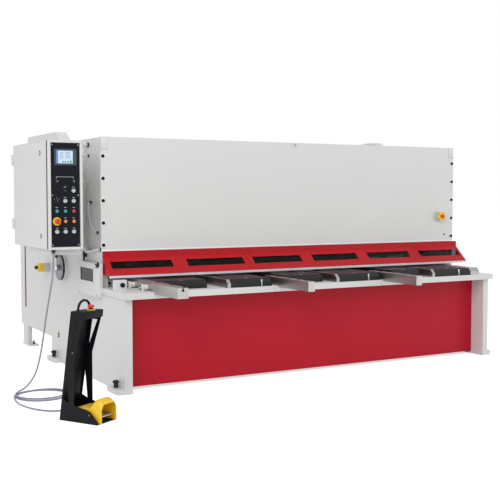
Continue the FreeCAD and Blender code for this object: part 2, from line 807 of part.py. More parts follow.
# Two round topped lugs with spacers hold the squaring arm, beside a stop block
stop_block_left = -1700
stop_block_width = 90
stop_block_front = 190
stop_block_deep = 45
stop_block_rise = 74
lug_front_y = 57
lug_rear_y = 302
lug_thin = 15
lug_deep = 56
lug_rise = 50
lug_top_round = 27
spacer_long = 34
spacer_radius = 20
spacer_level = 746
lug_items = [block("stop_block", ("stop_block_left", "stop_block_front", "bed_top"),
                   ("stop_block_width", "stop_block_deep", "stop_block_rise"))]
for index, front in enumerate(("lug_front_y", "lug_rear_y")):
    top = [(front, "bed_top + lug_rise"), (f"{front} + lug_deep", "bed_top + lug_rise")]
    corners = [(front, "bed_top"), *top, (f"{front} + lug_deep", "bed_top")]
    lug = prism(f"arm_lug_{index}", "X", "squaring_left - spacer_long - lug_thin", "lug_thin",
                corners)
    spacer = many_sided(f"arm_spacer_{index}", "X",
                        ("squaring_left - spacer_long", f"{front} + lug_deep / 2",
                         "spacer_level"), "spacer_radius", "spacer_long")
    lug_items.append(fuse(f"arm_lug_set_{index}", round_corners(lug, "X", top, "lug_top_round"),
                          spacer))
node(group("squaring_bracket", *lug_items), "squaring_bracket")

# Control cabinet: sheet shell open to the left, closed by a hinged door
cabinet_reach = 430
cabinet_gap = 180
cabinet_left = "-frame_outer - cabinet_reach"
cabinet_right = "-frame_outer - cabinet_gap"
cabinet_front = 357
cabinet_rear = 1274
cabinet_foot = 1017
cabinet_top = 1796
cabinet_sheet = 3
rim_depth = 10
rim_width = 17
door_thick = 15
door_seal = 5
door_front = 402
front_return = 397
hinge_radius = 8
hinge_pin = 4
hinge_offset = 8
hinge_leaf = 4
hinge_tall = 40
hinge_low = 1140
hinge_high = 1640
leaf_wide = 60
ear_wide = 40
shell_box = block("cabinet_box", ("cabinet_left", "cabinet_front", "cabinet_foot"),
                  ("cabinet_right - cabinet_left", "cabinet_rear - cabinet_front",
                   "cabinet_top - cabinet_foot"))
cavity = block("cabinet_cavity",
               ("cabinet_left + 2 * cabinet_sheet", "cabinet_front + cabinet_sheet",
                "cabinet_foot + cabinet_sheet"),
               ("cabinet_right - cabinet_left - 3 * cabinet_sheet",
                "cabinet_rear - cabinet_front - 2 * cabinet_sheet",
                "cabinet_top - cabinet_foot - 2 * cabinet_sheet"))
doorway = block("cabinet_doorway",
                ("cabinet_left - 1", "front_return", "cabinet_foot + cabinet_sheet"),
                ("2 * cabinet_sheet + 2", "cabinet_rear - front_return - cabinet_sheet",
                 "cabinet_top - cabinet_foot - 2 * cabinet_sheet"))
door_room = block("cabinet_door_room", ("cabinet_left - 1", "front_return", "cabinet_foot - 1"),
                  ("door_thick + door_seal + 1", "cabinet_rear - front_return + 1",
                   "cabinet_top - cabinet_foot + 2"))
rim_outer = block("cabinet_rim_outer",
                  ("cabinet_left", "cabinet_front - rim_depth", "cabinet_foot"),
                  ("cabinet_right - cabinet_left", "rim_depth", "cabinet_top - cabinet_foot"))
rim_inner = block("cabinet_rim_inner",
                  ("cabinet_left + rim_width", "cabinet_front - rim_depth - 1",
                   "cabinet_foot + rim_width"),
                  ("cabinet_right - cabinet_left - 2 * rim_width", "rim_depth + 1",
                   "cabinet_top - cabinet_foot - 2 * rim_width"))
hinge_x = "cabinet_left - hinge_offset"
hinge_y = "cabinet_rear + hinge_offset"
body_knuckles = []
door_knuckles = []
for mark, low in (("low", "hinge_low"), ("high", "hinge_high")):
    leaf = block(f"body_leaf_{mark}", (hinge_x, "cabinet_rear", low),
                 ("leaf_wide", "hinge_leaf", "hinge_tall"))
    barrel = many_sided(f"body_knuckle_{mark}", "Z", (hinge_x, hinge_y, low), "hinge_radius",
                        "hinge_tall")
    pin = many_sided(f"body_pin_{mark}", "Z", (hinge_x, hinge_y, low), "hinge_pin",
                     "2 * hinge_tall + door_seal")
    body_knuckles += [leaf, barrel, pin]
    upper = f"{low} + hinge_tall + door_seal"
    ear = block(f"door_leaf_{mark}", ("cabinet_left - hinge_leaf", "cabinet_rear - ear_wide", upper),
                ("hinge_leaf", "ear_wide + hinge_offset", "hinge_tall"))
    sleeve = many_sided(f"door_knuckle_{mark}", "Z", (hinge_x, hinge_y, upper),
                        "hinge_radius", "hinge_tall")
    eye = rod(f"door_eye_{mark}", "Z", (hinge_x, hinge_y, f"{upper} - 1"),
              "hinge_pin + running_gap", "hinge_tall + 2")
    door_knuckles.append((ear, sleeve, eye))
shell = cut("cabinet_shell_cut", shell_box, cavity, doorway, door_room)
rim = cut("cabinet_rim", rim_outer, rim_inner)
node(fuse("cabinet_shell", shell, rim, *body_knuckles), "cabinet_shell")

door_leaf = block("door_leaf", ("cabinet_left", "door_front", "cabinet_foot"),
                  ("door_thick", "cabinet_rear - door_seal - door_front",
                   "cabinet_top - cabinet_foot"))
door_hollow = block("door_hollow",
                    ("cabinet_left + cabinet_sheet", "door_front + cabinet_sheet",
                     "cabinet_foot + cabinet_sheet"),
                    ("door_thick", "cabinet_rear - door_seal - door_front - 2 * cabinet_sheet",
                     "cabinet_top - cabinet_foot - 2 * cabinet_sheet"))
lock_y = 552
lock_radius = 13
lock_rise = 5
lock_low = 1109
lock_high = 1710
locks = [many_sided(f"door_lock_{mark}", "X", ("cabinet_left - lock_rise", "lock_y", level),
                    "lock_radius", "lock_rise") for mark, level in (("low", "lock_low"),
                                                                     ("high", "lock_high"))]
ears = [piece for ear, sleeve, eye in door_knuckles for piece in (ear, sleeve)]
eyes = [eye for ear, sleeve, eye in door_knuckles]
leaf_cut = cut("door_leaf_cut", door_leaf, door_hollow)
node(cut("cabinet_door", fuse("door_all", leaf_cut, *locks, *ears), *eyes), "cabinet_door")

# A folded tray under the cabinet carries it, on an arm from the left frame
shelf_front = 412
shelf_rear = 945
shelf_deep = 40
shelf_inset = 30
shelf_sheet = 6
shelf_arm_front = 885
shelf_arm_rear = 1180
shelf_arm_lap = 80
shelf_long = "cabinet_right - cabinet_left - shelf_inset"
shelf = block("cabinet_shelf", ("cabinet_left + shelf_inset", "shelf_front",
                                "cabinet_foot - shelf_deep"),
              (shelf_long, "shelf_rear - shelf_front", "shelf_deep"))
shelf_hollow = block("cabinet_shelf_hollow",
                     ("cabinet_left + shelf_inset + shelf_sheet", "shelf_front + shelf_sheet",
                      "cabinet_foot - shelf_deep - 1"),
                     (f"{shelf_long} - 2 * shelf_sheet",
                      "shelf_rear - shelf_front - 2 * shelf_sheet",
                      "shelf_deep - shelf_sheet + 1"))
shelf_arm = block("cabinet_arm", ("cabinet_right - shelf_arm_lap", "shelf_arm_front",
                                  "cabinet_foot - shelf_deep"),
                  ("-frame_outer - cabinet_right + shelf_arm_lap",
                   "shelf_arm_rear - shelf_arm_front", "shelf_deep"))
node(fuse("cabinet_support", cut("cabinet_tray", shelf, shelf_hollow), shelf_arm),
     "cabinet_bracket")

# Mounting plate with drives, switchgear and terminals inside the cabinet
gear_plate = 3
gear_margin = 60
gear_front = 450
gear_foot = 1080
gear_deep = 70
gear_rows = [("drive", 1560, 150, 3, 170), ("switch", 1350, 90, 8, 60),
             ("relay", 1220, 70, 10, 40), ("terminal", 1110, 50, 1, 640)]
gear_pitch = 20
gear_wall = "cabinet_right - cabinet_sheet"
gear = [block("gear_plate_sheet", (f"{gear_wall} - gear_plate", "gear_front", "gear_foot"),
              ("gear_plate", "cabinet_rear - gear_front - gear_margin",
               "cabinet_top - gear_foot - gear_margin"))]
for name, level, tall, count, wide in gear_rows:
    for index in range(count):
        gear.append(block(f"{name}_{index}",
                          (f"{gear_wall} - gear_plate - gear_deep",
                           f"gear_front + gear_pitch * ({index} + 1) + {index * wide}", level),
                          ("gear_deep", wide, tall)))
node(fuse("cabinet_gear", *gear), "cabinet_gear")

# Operator panel with its screen, buttons and switches
panel_thick = 4
panel_gap = 3
screen_left = -2086
screen_width = 164
screen_foot = 1617
screen_tall = 117
screen_rise = 8
column_left = -2070
column_pitch = 62
row_top = 1438
row_pitch = 73
button_radius = 15
button_rise = 10
key_level = 1505
stop_radius = 30
stop_head_radius = 20
stop_rise = 34
ring_thick = 3
panel_face = "cabinet_front - panel_thick"
panel = block("control_panel",
              ("cabinet_left + rim_width + panel_gap", panel_face,
               "cabinet_foot + rim_width + panel_gap"),
              ("cabinet_right - cabinet_left - 2 * (rim_width + panel_gap)", "panel_thick",
               "cabinet_top - cabinet_foot - 2 * (rim_width + panel_gap)"))
node(panel, "control_panel")
screen = block("panel_screen", ("screen_left", f"{panel_face} - screen_rise", "screen_foot"),
               ("screen_width", "screen_rise", "screen_tall"))
node(screen, "panel_screen")
button_places = [(2, 0), (1, 1), (2, 1), (0, 2), (1, 2), (2, 2), (1, 3), (2, 3), (0, 4), (1, 4),
                 (2, 4)]
buttons = []
for column, row in button_places:
    place = (f"column_left + {column} * column_pitch", f"{panel_face} - button_rise",
             f"row_top - {row} * row_pitch")
    buttons.append(many_sided(f"button_{column}_{row}", "Y", place, "button_radius",
                              "button_rise"))
node(group("panel_buttons", *buttons), "panel_buttons")
switches = []
for name, column, level in (("key_left", 0, "key_level"), ("key_right", 2, "key_level"),
                            ("selector", 0, "row_top - row_pitch")):
    place = (f"column_left + {column} * column_pitch", f"{panel_face} - 2 * button_rise", level)
    switches.append(many_sided(name, "Y", place, "button_radius", "2 * button_rise"))
node(group("panel_switches", *switches), "panel_switches")
stop_place = ("column_left", panel_face, "row_top - 3 * row_pitch")
stop_ring = many_sided("panel_stop_ring", "Y",
                       (stop_place[0], f"{panel_face} - ring_thick", stop_place[2]),
                       "stop_radius", "ring_thick", 20)
stop_head = many_sided("panel_stop_head", "Y",
                       (stop_place[0], f"{panel_face} - stop_rise", stop_place[2]),
                       "stop_head_radius", "stop_rise", 20)
node(fuse("panel_stop", stop_ring, stop_head), "panel_stop_button")

# Blade gap dial on the pivot, with its lever
dial_radius = 106
dial_rise = 40
dial_hub = 22
lever_long = 70
lever_width = 14
lever_gap = 0.5
lever_thick = 10
hub_radius = 14
hub_rise = 16
knob_rise = 25
dial_face = "-frame_outer - dial_rise"
dial = many_sided("gap_dial_disc", "X", (dial_face, "pivot_y", "pivot_z"), "dial_radius",
                  "dial_rise", 40)
hub = many_sided("gap_dial_hub", "X", (f"{dial_face} - hub_rise", "pivot_y", "pivot_z"),
                 "hub_radius", "hub_rise", 20)
node(fuse("gap_dial", dial, hub), "gap_dial")
lever_eye = many_sided("lever_eye", "X", (f"{dial_face} - lever_gap - lever_thick", "pivot_y",
                                          "pivot_z"), "dial_hub", "lever_thick")
lever_bar = block("lever_bar",
                  (f"{dial_face} - lever_gap - lever_thick", "pivot_y - lever_width / 2",
                   "pivot_z"), ("lever_thick", "lever_width", "dial_hub + lever_long"))
lever_knob = many_sided("lever_knob", "X",
                        (f"{dial_face} - lever_gap - lever_thick - knob_rise", "pivot_y",
                         "pivot_z + dial_hub + lever_long"), "lever_width",
                        "knob_rise + lever_thick")
lever_bore = rod("lever_bore", "X", (f"{dial_face} - 2 * hub_rise", "pivot_y", "pivot_z"),
                 "hub_radius + running_gap", "2 * hub_rise + 1")
node(cut("gap_lever", fuse("gap_lever_all", lever_eye, lever_bar, lever_knob), lever_bore),
     "gap_lever")

# Cover box on the left frame at the throat, with a dark pane
cover_rear = 850
cover_foot = 650
cover_top = 900
cover_rise = 43
cover_pane_front = 530
cover_pane_rear = 825
cover_pane_foot = 757
cover_pane_top = 855
cover_pane_thick = 3
cover_recess_deep = 10
cover_round = 25
cover_edge = ("-frame_outer - cover_rise", "cover_front")
cover = prism("side_cover_body", "Z", "cover_foot", "cover_top - cover_foot",
              [cover_edge, ("-frame_outer", "cover_front"), ("-frame_outer", "cover_rear"),
               ("-frame_outer - cover_rise", "cover_rear")])
round_corners(cover, "Z", [cover_edge], "cover_round")
cover_recess = block("cover_recess",
                     ("-frame_outer - cover_rise - 1", "cover_pane_front", "cover_pane_foot"),
                     ("cover_recess_deep + 1", "cover_pane_rear - cover_pane_front",
                      "cover_pane_top - cover_pane_foot"))
node(cut("side_cover_box", cover, cover_recess), "side_cover")
cover_pane = block("side_cover_pane",
                   ("-frame_outer - cover_rise + cover_recess_deep - cover_pane_thick",
                    "cover_pane_front", "cover_pane_foot"),
                   ("cover_pane_thick", "cover_pane_rear - cover_pane_front",
                    "cover_pane_top - cover_pane_foot"))
node(cover_pane, "side_cover_pane")

# Stop stations on the left frame and on the hood
station_side = 72
station_deep = 50
station_y = 1790
station_z = 785
mushroom_radius = 18
mushroom_rise = 24
hood_station_x = 1530
hood_station_z = 1219
left_station = block("left_station",
                     ("-frame_outer - 2 * station_deep", "station_y - station_side / 2",
                      "station_z - station_side / 2"),
                     ("2 * station_deep", "station_side", "station_side"))
left_mushroom = many_sided("left_mushroom", "X",
                           ("-frame_outer - 2 * station_deep - mushroom_rise", "station_y",
                            "station_z"), "mushroom_radius", "mushroom_rise", 20)
node(fuse("stop_station_left", left_station, left_mushroom), "stop_station_left")
hood_station = block("hood_station",
                     ("hood_station_x - station_side / 2", "hood_front - station_deep",
                      "hood_station_z - station_side / 2"),
                     ("station_side", "station_deep", "station_side"))
hood_mushroom = many_sided("hood_mushroom", "Y",
                           ("hood_station_x", "hood_front - station_deep - mushroom_rise",
                            "hood_station_z"), "mushroom_radius", "mushroom_rise", 20)
node(fuse("stop_station_hood", hood_station, hood_mushroom), "stop_station_hood")

# Rear: cross member, oil tank with its pump motor on a shelf, sheet slide below the cut
tank_front = 1480
tank_rear = 1960
tank_foot = 1560
tank_top = 1740
tank_half = 620
tie_front = 1100
tie_deep = 60
tie_foot = 1400
tie_tall = 240
shelf_bar = 60
slide_top_z = "table_level - lower_blade_height - 2 * seat_depth"
slide_foot_z = 260
slide_rear = 1600
slide_thick = 8
slide_front = 620
motor_radius = 72
motor_long = 260
motor_left = -450
motor_y = 1700
filler_x = 300
filler_radius = 40
filler_rise = 30
tie_bar = block("top_tie", ("-frame_outer + frame_thick", "tie_front", "tie_foot"),
                ("2 * (frame_outer - frame_thick)", "tie_deep", "tie_tall"))
node(tie_bar, "top_tie")
slide_corners = [("bed_web_rear", "slide_top_z - slide_thick"), ("bed_web_rear", "slide_top_z"),
                 ("slide_rear", "slide_foot_z + slide_thick"), ("slide_rear", "slide_foot_z")]
node(prism("sheet_slide", "X", "-frame_outer + frame_thick", "2 * (frame_outer - frame_thick)",
           slide_corners), "sheet_slide")
tank = block("oil_tank", ("-tank_half", "tank_front", "tank_foot"),
             ("2 * tank_half", "tank_rear - tank_front", "tank_top - tank_foot"))
motor = many_sided("pump_motor", "X", ("motor_left", "motor_y", "tank_top + motor_radius"),
                   "motor_radius", "motor_long", 20)
motor_seat = block("motor_seat", ("motor_left", "motor_y - motor_radius / 2", "tank_top"),
                   ("motor_long", "motor_radius", "motor_radius / 2"))
filler = many_sided("tank_filler", "Z", ("filler_x", "motor_y", "tank_top"), "filler_radius",
                    "filler_rise")
node(fuse("oil_tank_set", tank, motor, motor_seat, filler), "oil_tank")
rear_tie = block("rear_tie", ("-frame_outer + frame_thick", "tank_front",
                              "tank_foot - shelf_bar"),
                 ("2 * (frame_outer - frame_thick)", "main_rear - tank_front", "shelf_bar"))
node(rear_tie, "tank_shelf")

# Two fixed cylinders press the beam down from brackets on the frames
press_y = 950
press_inset = 95
press_radius = 45
press_foot = 1320
press_top = 1495
press_rod_radius = 22
press_gap = 6
mount_half = 45
mount_thick = 30
presses = []
for side in (-1, 1):
    word = "left" if side < 0 else "right"
    middle = (f"{side} * (frame_outer - frame_thick - press_inset)", "press_y")
    press_barrel = many_sided(f"press_barrel_{word}", "Z", (*middle, "press_foot"),
                              "press_radius", "press_top - press_foot", 20)
    press_rod = many_sided(f"press_rod_{word}", "Z", (*middle, "beam_top + press_gap"),
                           "press_rod_radius", "press_foot - beam_top - press_gap", 20)
    low = ("-frame_outer + frame_thick" if side < 0
           else "frame_outer - frame_thick - press_inset - press_radius")
    mount = block(f"press_mount_{word}", (low, "press_y - mount_half", "press_top"),
                  ("press_inset + press_radius", "2 * mount_half", "mount_thick"))
    presses.append(fuse(f"press_{word}", press_barrel, press_rod, mount))
node(group("beam_cylinders", *presses), "beam_cylinders")

# Back gauge hangs under the beam: two rails and a stop bar behind the cut
rail_x = 900
rail_width = 50
rail_rear = 1240
rail_tall = 56
gauge_stop_y = 1000
gauge_stop_thick = 20
gauge_stop_drop = 60
gauge_top = f"{plate_low} + blade_rake"
rails = [block(f"gauge_rail_{index}", (f"{side} * rail_x - rail_width / 2", beam_back,
                                       f"{gauge_top} - rail_tall"),
               ("rail_width", f"rail_rear - ({beam_back})", "rail_tall"))
         for index, side in enumerate((-1, 1))]
gauge_stop = block("gauge_stop", ("-rail_x - 2 * rail_width", "gauge_stop_y",
                                  f"{gauge_top} - rail_tall - gauge_stop_drop"),
                   ("2 * rail_x + 4 * rail_width", "gauge_stop_thick",
                    "gauge_stop_drop + rail_tall / 2"))
node(fuse("back_gauge", *rails, gauge_stop), "back_gauge")

# Hose and conduit on the left end of the hood, with their fittings
hose_radius = 8
conduit_radius = 11
hood_side = "-hood_half + hood_inset"
hose_x = value(hood_side)
hose_route = [Vector(hose_x, 735, 1380), Vector(hose_x - 46, 735, 1380),
              Vector(hose_x - 40, 704, 1240), Vector(hose_x - 46, 588, 1124),
              Vector(hose_x, 588, 1124)]
conduit_x = value("-frame_outer")
conduit_route = [Vector(value("cabinet_right"), 845, 1040), Vector(conduit_x - 22, 845, 1040),
                 Vector(conduit_x - 24, 700, 974), Vector(conduit_x - 22, 520, 1001),
                 Vector(hose_x, 520, 1001)]
fitting_rise = 24
fittings = [("side_port", 873, 1139, 14), ("hose_fitting", 688, 1166, 9),
            ("top_fitting", 790, 1798, 18), ("small_fitting", 782, 1708, 9)]
hose_parts = [tube("hood_hose", hose_route, hose_radius),
              tube("hood_conduit", conduit_route, conduit_radius)]
for name, along, level, radius in fittings:
    root = hood_side if along < neck_front else "-frame_outer"
    hose_parts.append(many_sided(name, "X", (f"{root} - fitting_rise", along, level), radius,
                                 "fitting_rise"))
node(group("hood_hoses", *hose_parts), "hood_hoses")

# Pedal stand, turned about the vertical, with its own front left corner as zero
stand_x = -2174
stand_y = -730
stand_turn = 31.5
stand_width = 184
stand_deep = 297
tower_top = 690
tower_rear = 196
tower_front = 90
waist_y = 180
waist_z = 412
base_rise = 105
base_front_rise = 80
toe_rise = 25
tower_sheet = 4
lower_front = 60
cable_port_x = 155
cable_port_z = 30
cable_port_radius = 11
cable_port_rear = 311
tower_corners = [("0", "0"), ("stand_deep", "0"), ("tower_rear", "tower_top"),
                 ("tower_front", "tower_top"), ("waist_y", "waist_z"), ("waist_y", "base_rise"),
                 ("lower_front", "base_front_rise"), ("0", "toe_rise")]
upper_cut = [(133, 624), (176, 624), (205, 458)]
lower_cut = [(236, 304), (265, 135), (220, 115)]
cheeks = [prism(f"tower_cheek_{word}", "X", low, "tower_sheet", tower_corners,
                openings=[upper_cut, lower_cut])
          for word, low in (("left", "0"), ("right", "stand_width - tower_sheet"))]
back_corners = [("stand_deep - tower_sheet", "0"), ("stand_deep", "0"),
                ("tower_rear", "tower_top"), ("tower_rear - tower_sheet", "tower_top")]
tower_back = prism("tower_back", "X", "0", "stand_width", back_corners)
tower_cap = block("tower_cap", ("0", "tower_front", "tower_top - tower_sheet"),
                  ("stand_width", "tower_rear - tower_front", "tower_sheet"))
tower_floor = block("tower_floor", ("0", "0", "0"), ("stand_width", "stand_deep", "tower_sheet"))
cable_port = many_sided("cable_port", "Y", ("cable_port_x", "stand_deep - 4 * tower_sheet",
                                            "cable_port_z"), "cable_port_radius",
                        "cable_port_rear - stand_deep + 4 * tower_sheet")
stand_place = ("stand_x", "stand_y", "0")
node(fuse("stand_tower", *cheeks, tower_back, tower_cap, tower_floor, cable_port),
     "stand_tower", "stand_turn", stand_place)

# Stop button and hoop handle on the stand's cap
stand_stop_x = 117
stand_stop_y = 133
stand_head_radius = 22
handle_x = 116
handle_y = 186
handle_radius = 58
handle_bar = 8
handle_steps = 12
stand_ring = many_sided("stand_stop_ring", "Z", ("stand_stop_x", "stand_stop_y", "tower_top"),
                        "stop_radius", "ring_thick", 20)
stand_head = many_sided("stand_stop_head", "Z", ("stand_stop_x", "stand_stop_y", "tower_top"),
                        "stand_head_radius", "stop_rise", 20)
node(fuse("stand_stop", stand_ring, stand_head), "stand_stop_button", "stand_turn", stand_place)
bends = [f"180 * {index} / handle_steps" for index in range(handle_steps + 1)]
hoop = [(f"handle_x + (handle_radius + handle_bar) * cos({bend})",
         f"tower_top + (handle_radius + handle_bar) * sin({bend})") for bend in bends]
hoop += [(f"handle_x + (handle_radius - handle_bar) * cos({bend})",
          f"tower_top + (handle_radius - handle_bar) * sin({bend})") for bend in reversed(bends)]
node(prism("handle_hoop", "Y", "handle_y - handle_bar", "2 * handle_bar", hoop), "stand_handle",
     "stand_turn", stand_place)

# Pedal guard: a domed hood over the pedal with a tongue behind it, and the pedal on its pin
hood_x = 17
hood_width = 150
hood_wall = 5
hood_mouth = -22
mouth_top = 126
dome_y = 22
dome_top = 154
dome_foot_y = 88
dome_foot = 90
wall_top = 98
chin_inset = 13
chin_top = 128
dome_inset = 43
tongue_rear = 178
tongue_thick = 5
pedal_width = 124
pedal_long = 80
pedal_thick = 6
pedal_level = 45
pedal_hinge_y = 75
pedal_pin = 5
pedal_eye_wall = 5


def dome(name, wall):
    """Solid of the hood's outer shape, or of the room inside it, set in by the wall."""
    side = [(f"hood_mouth - {wall}", "tower_sheet"),
            (f"hood_mouth - {wall}", f"mouth_top - {wall}"), ("dome_y", f"dome_top - {wall}"),
            (f"dome_foot_y + {wall}", f"dome_foot - 2 * {wall}"),
            (f"dome_foot_y + {wall}", "tower_sheet")]
    low = f"hood_x + {wall}"
    high = f"hood_x + hood_width - {wall}"
    arch = [(low, "tower_sheet"), (low, "wall_top"), (f"{low} + chin_inset", "chin_top"),
            (f"{low} + dome_inset", "dome_top"), (f"{high} - dome_inset", "dome_top"),
            (f"{high} - chin_inset", "chin_top"), (high, "wall_top"), (high, "tower_sheet")]
    length = prism(name + "_length", "X", "hood_x", "hood_width", side)
    width = prism(name + "_width", "Y", "hood_mouth - 2 * hood_wall",
                  "dome_foot_y - hood_mouth + 4 * hood_wall", arch)
    item = doc.addObject("Part::MultiCommon", name)
    item.Shapes = [length, width]
    return item


tongue = block("guard_tongue", ("hood_x", "dome_foot_y - hood_wall", "dome_foot - tongue_thick"),
               ("hood_width", "tongue_rear - dome_foot_y + hood_wall", "tongue_thick"))
guard_pin = rod("pedal_pin", "X", ("hood_x + hood_wall - 1", "pedal_hinge_y", "pedal_level"),
                "pedal_pin", "hood_width - 2 * hood_wall + 2")
guard_shell = cut("pedal_guard_shell", dome("dome_outer", "0"), dome("dome_inner", "hood_wall"))
node(fuse("pedal_guard", guard_shell, tongue, guard_pin), "pedal_guard", "stand_turn",
     stand_place)
pedal_x = "hood_x + (hood_width - pedal_width) / 2"
pedal_plate = block("pedal_plate",
                    (pedal_x, "pedal_hinge_y - pedal_long", "pedal_level - pedal_thick / 2"),
                    ("pedal_width", "pedal_long", "pedal_thick"))
pedal_eye = many_sided("pedal_eye", "X", (pedal_x, "pedal_hinge_y", "pedal_level"),
                       "pedal_pin + pedal_eye_wall", "pedal_width")
pedal_bore = rod("pedal_bore", "X", (f"{pedal_x} - 1", "pedal_hinge_y", "pedal_level"),
                 "pedal_pin + running_gap", "pedal_width + 2")
node(cut("foot_pedal", fuse("foot_pedal_all", pedal_plate, pedal_eye), pedal_bore),
     "foot_pedal", "stand_turn", stand_place)

# Pedal cable: from a gland under the cabinet, down, two loose turns on the floor, into the stand
cable_radius = 6
gland_x = -2088
gland_y = 385
gland_nut = 16
gland_nut_tall = 14
gland_dome = 11
gland_dome_tall = 12
coil_x = -2227
coil_y = 254
coil_radius = 178
coil_half = 14
coil_tall = 26
gland_end = "cabinet_foot - gland_nut_tall - gland_dome_tall"
nut = many_sided("gland_hexagon", "Z", ("gland_x", "gland_y", "cabinet_foot - gland_nut_tall"),
                 "gland_nut", "gland_nut_tall", 6)
sleeve = many_sided("gland_sleeve", "Z", ("gland_x", "gland_y", gland_end), "gland_dome",
                    "gland_dome_tall")
node(fuse("cable_gland", nut, sleeve), "cable_gland")
drop_route = [Vector(gland_x, gland_y, value(gland_end)), Vector(-2090, 388, 850),
              Vector(-2116, 394, 700), Vector(-2144, 399, 540), Vector(-2166, 405, 375),
              Vector(-2190, 412, 235), Vector(-2222, 421, 118), Vector(-2286, 423, 38),
              Vector(-2350, 384, 16)]
node(tube("cable_drop", drop_route, cable_radius), "cable_drop")
coil_outer = many_sided("coil_outer", "Z", ("coil_x", "coil_y", "0"), "coil_radius + coil_half",
                        "coil_tall", 30)
coil_inner = many_sided("coil_inner", "Z", ("coil_x", "coil_y", "-1"), "coil_radius - coil_half",
                        "coil_tall + 2", 30)
node(cut("cable_coil", coil_outer, coil_inner), "cable_coil")
turned = FreeCAD.Rotation(Vector(0, 0, 1), stand_turn)
port = turned.multVec(Vector(cable_port_x, cable_port_rear, cable_port_z))
port += Vector(stand_x, stand_y, 0)
into = turned.multVec(Vector(0, -1, 0))
run_route = [Vector(-2392, 320, 12), Vector(-2432, 195, 7), Vector(-2440, 40, 7),
             Vector(-2404, -120, 7), Vector(-2335, -240, 8), Vector(-2262, -302, 14),
             port - into * 48, port]
node(tube("cable_run", run_route, cable_radius), "cable_run")


# Build, check every object and write one file for each sub-part
doc.recompute()
faults = [item.Name for item in doc.Objects
          if "Invalid" in item.State or "Error" in item.State]
if faults:
    raise SystemExit(f"failed objects: {faults}")
os.makedirs("parts", exist_ok=True)
total = FreeCAD.BoundBox()
for item, label in node_objects:
    shape = item.Shape
    if shape.isNull() or not shape.isValid():
        raise SystemExit(f"bad shape: {label}")
    total.add(shape.BoundBox)
    shape.exportStep(f"parts/{label}.step")
print("nodes", len(node_objects))
print("box", [round(number, 3) for number in (total.XMin, total.XMax, total.YMin, total.YMax,
                                              total.ZMin, total.ZMax)])
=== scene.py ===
import bpy
import bmesh
import math
from mathutils import Matrix, Vector


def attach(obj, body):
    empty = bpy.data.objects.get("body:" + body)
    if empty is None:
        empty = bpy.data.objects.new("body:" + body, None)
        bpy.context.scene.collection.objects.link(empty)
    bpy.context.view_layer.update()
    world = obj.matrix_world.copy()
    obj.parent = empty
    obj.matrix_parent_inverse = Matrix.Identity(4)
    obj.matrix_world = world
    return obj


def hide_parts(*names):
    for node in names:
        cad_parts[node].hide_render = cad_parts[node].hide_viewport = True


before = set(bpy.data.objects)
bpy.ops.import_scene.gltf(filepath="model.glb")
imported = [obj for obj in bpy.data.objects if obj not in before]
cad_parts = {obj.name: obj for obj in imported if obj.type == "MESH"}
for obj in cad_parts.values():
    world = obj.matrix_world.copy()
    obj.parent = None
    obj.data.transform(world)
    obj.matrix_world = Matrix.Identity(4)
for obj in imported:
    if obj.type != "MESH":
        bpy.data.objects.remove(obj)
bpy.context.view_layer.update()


# Studio: pale paper floor under a white surround, as in a catalogue picture. Soft light
# comes from the operator's side and from above, with a weaker one behind the machine.
def linear(hex_colour):
    """Turn an sRGB hex colour to the linear colour that shaders take."""
    parts = [int(hex_colour[i:i + 2], 16) / 255 for i in (1, 3, 5)]
    return [p / 12.92 if p <= 0.04045 else ((p + 0.055) / 1.055) ** 2.4 for p in parts] + [1.0]


def add(tree, kind, settings=None, **links):
    """Add a node, set its fields and sockets, and link what feeds it."""
    item = tree.nodes.new(kind)
    for name, value in (settings or {}).items():
        setattr(item, name, value)
    for name, value in links.items():
        numbered = name[0] == "i" and name[1:].isdigit()
        socket = item.inputs[int(name[1:]) if numbered else name.replace("_", " ")]
        if isinstance(value, bpy.types.NodeSocket):
            tree.links.new(value, socket)
        else:
            socket.default_value = value
    return item


def seen(tree):
    """One for rays that show the surround: straight, mirrored and through glass."""
    rays = add(tree, "ShaderNodeLightPath").outputs
    straight = add(tree, "ShaderNodeMath", {"operation": "MAXIMUM"},
                   i0=rays["Is Camera Ray"], i1=rays["Is Glossy Ray"])
    either = add(tree, "ShaderNodeMath", {"operation": "MAXIMUM"}, i0=straight.outputs[0],
                 i1=rays["Is Transmission Ray"])
    return either.outputs[0]


# The surround shows as plain white and lights the machine at a lower, slightly cold level.
surround_light = 0.68
world = bpy.data.worlds.new("white_surround")
world.use_nodes = True
bpy.context.scene.world = world
sky = world.node_tree
sky.nodes.clear()
shown = add(sky, "ShaderNodeBackground", Color=linear("#ffffff"), Strength=1.0)
light = add(sky, "ShaderNodeBackground", Color=linear("#f6f8fb"), Strength=surround_light)
both = add(sky, "ShaderNodeMixShader", i0=seen(sky), i1=light.outputs[0],
           i2=shown.outputs[0])
add(sky, "ShaderNodeOutputWorld", Surface=both.outputs[0])

# Matt paper without a sheen. Its own glow lifts it to white, and the soft shadow stays.
paper_glow = 0.62
paper_half_width = 40.0
floor_form = bmesh.new()
bmesh.ops.create_grid(floor_form, x_segments=1, y_segments=1, size=paper_half_width)
floor_mesh = bpy.data.meshes.new("studio_floor")
floor_form.to_mesh(floor_mesh)
floor_form.free()
floor = bpy.data.objects.new("studio_floor", floor_mesh)
bpy.context.collection.objects.link(floor)
paper = bpy.data.materials.new("pale_paper_floor")
paper.use_nodes = True
tree = paper.node_tree
tree.nodes.clear()
matt = add(tree, "ShaderNodeBsdfDiffuse", Color=linear("#e6e6e6"))
glow = add(tree, "ShaderNodeEmission", Color=linear("#ffffff"), Strength=paper_glow)
lifted = add(tree, "ShaderNodeAddShader", i0=matt.outputs[0], i1=glow.outputs[0])
both = add(tree, "ShaderNodeMixShader", i0=seen(tree), i1=matt.outputs[0],
           i2=lifted.outputs[0])
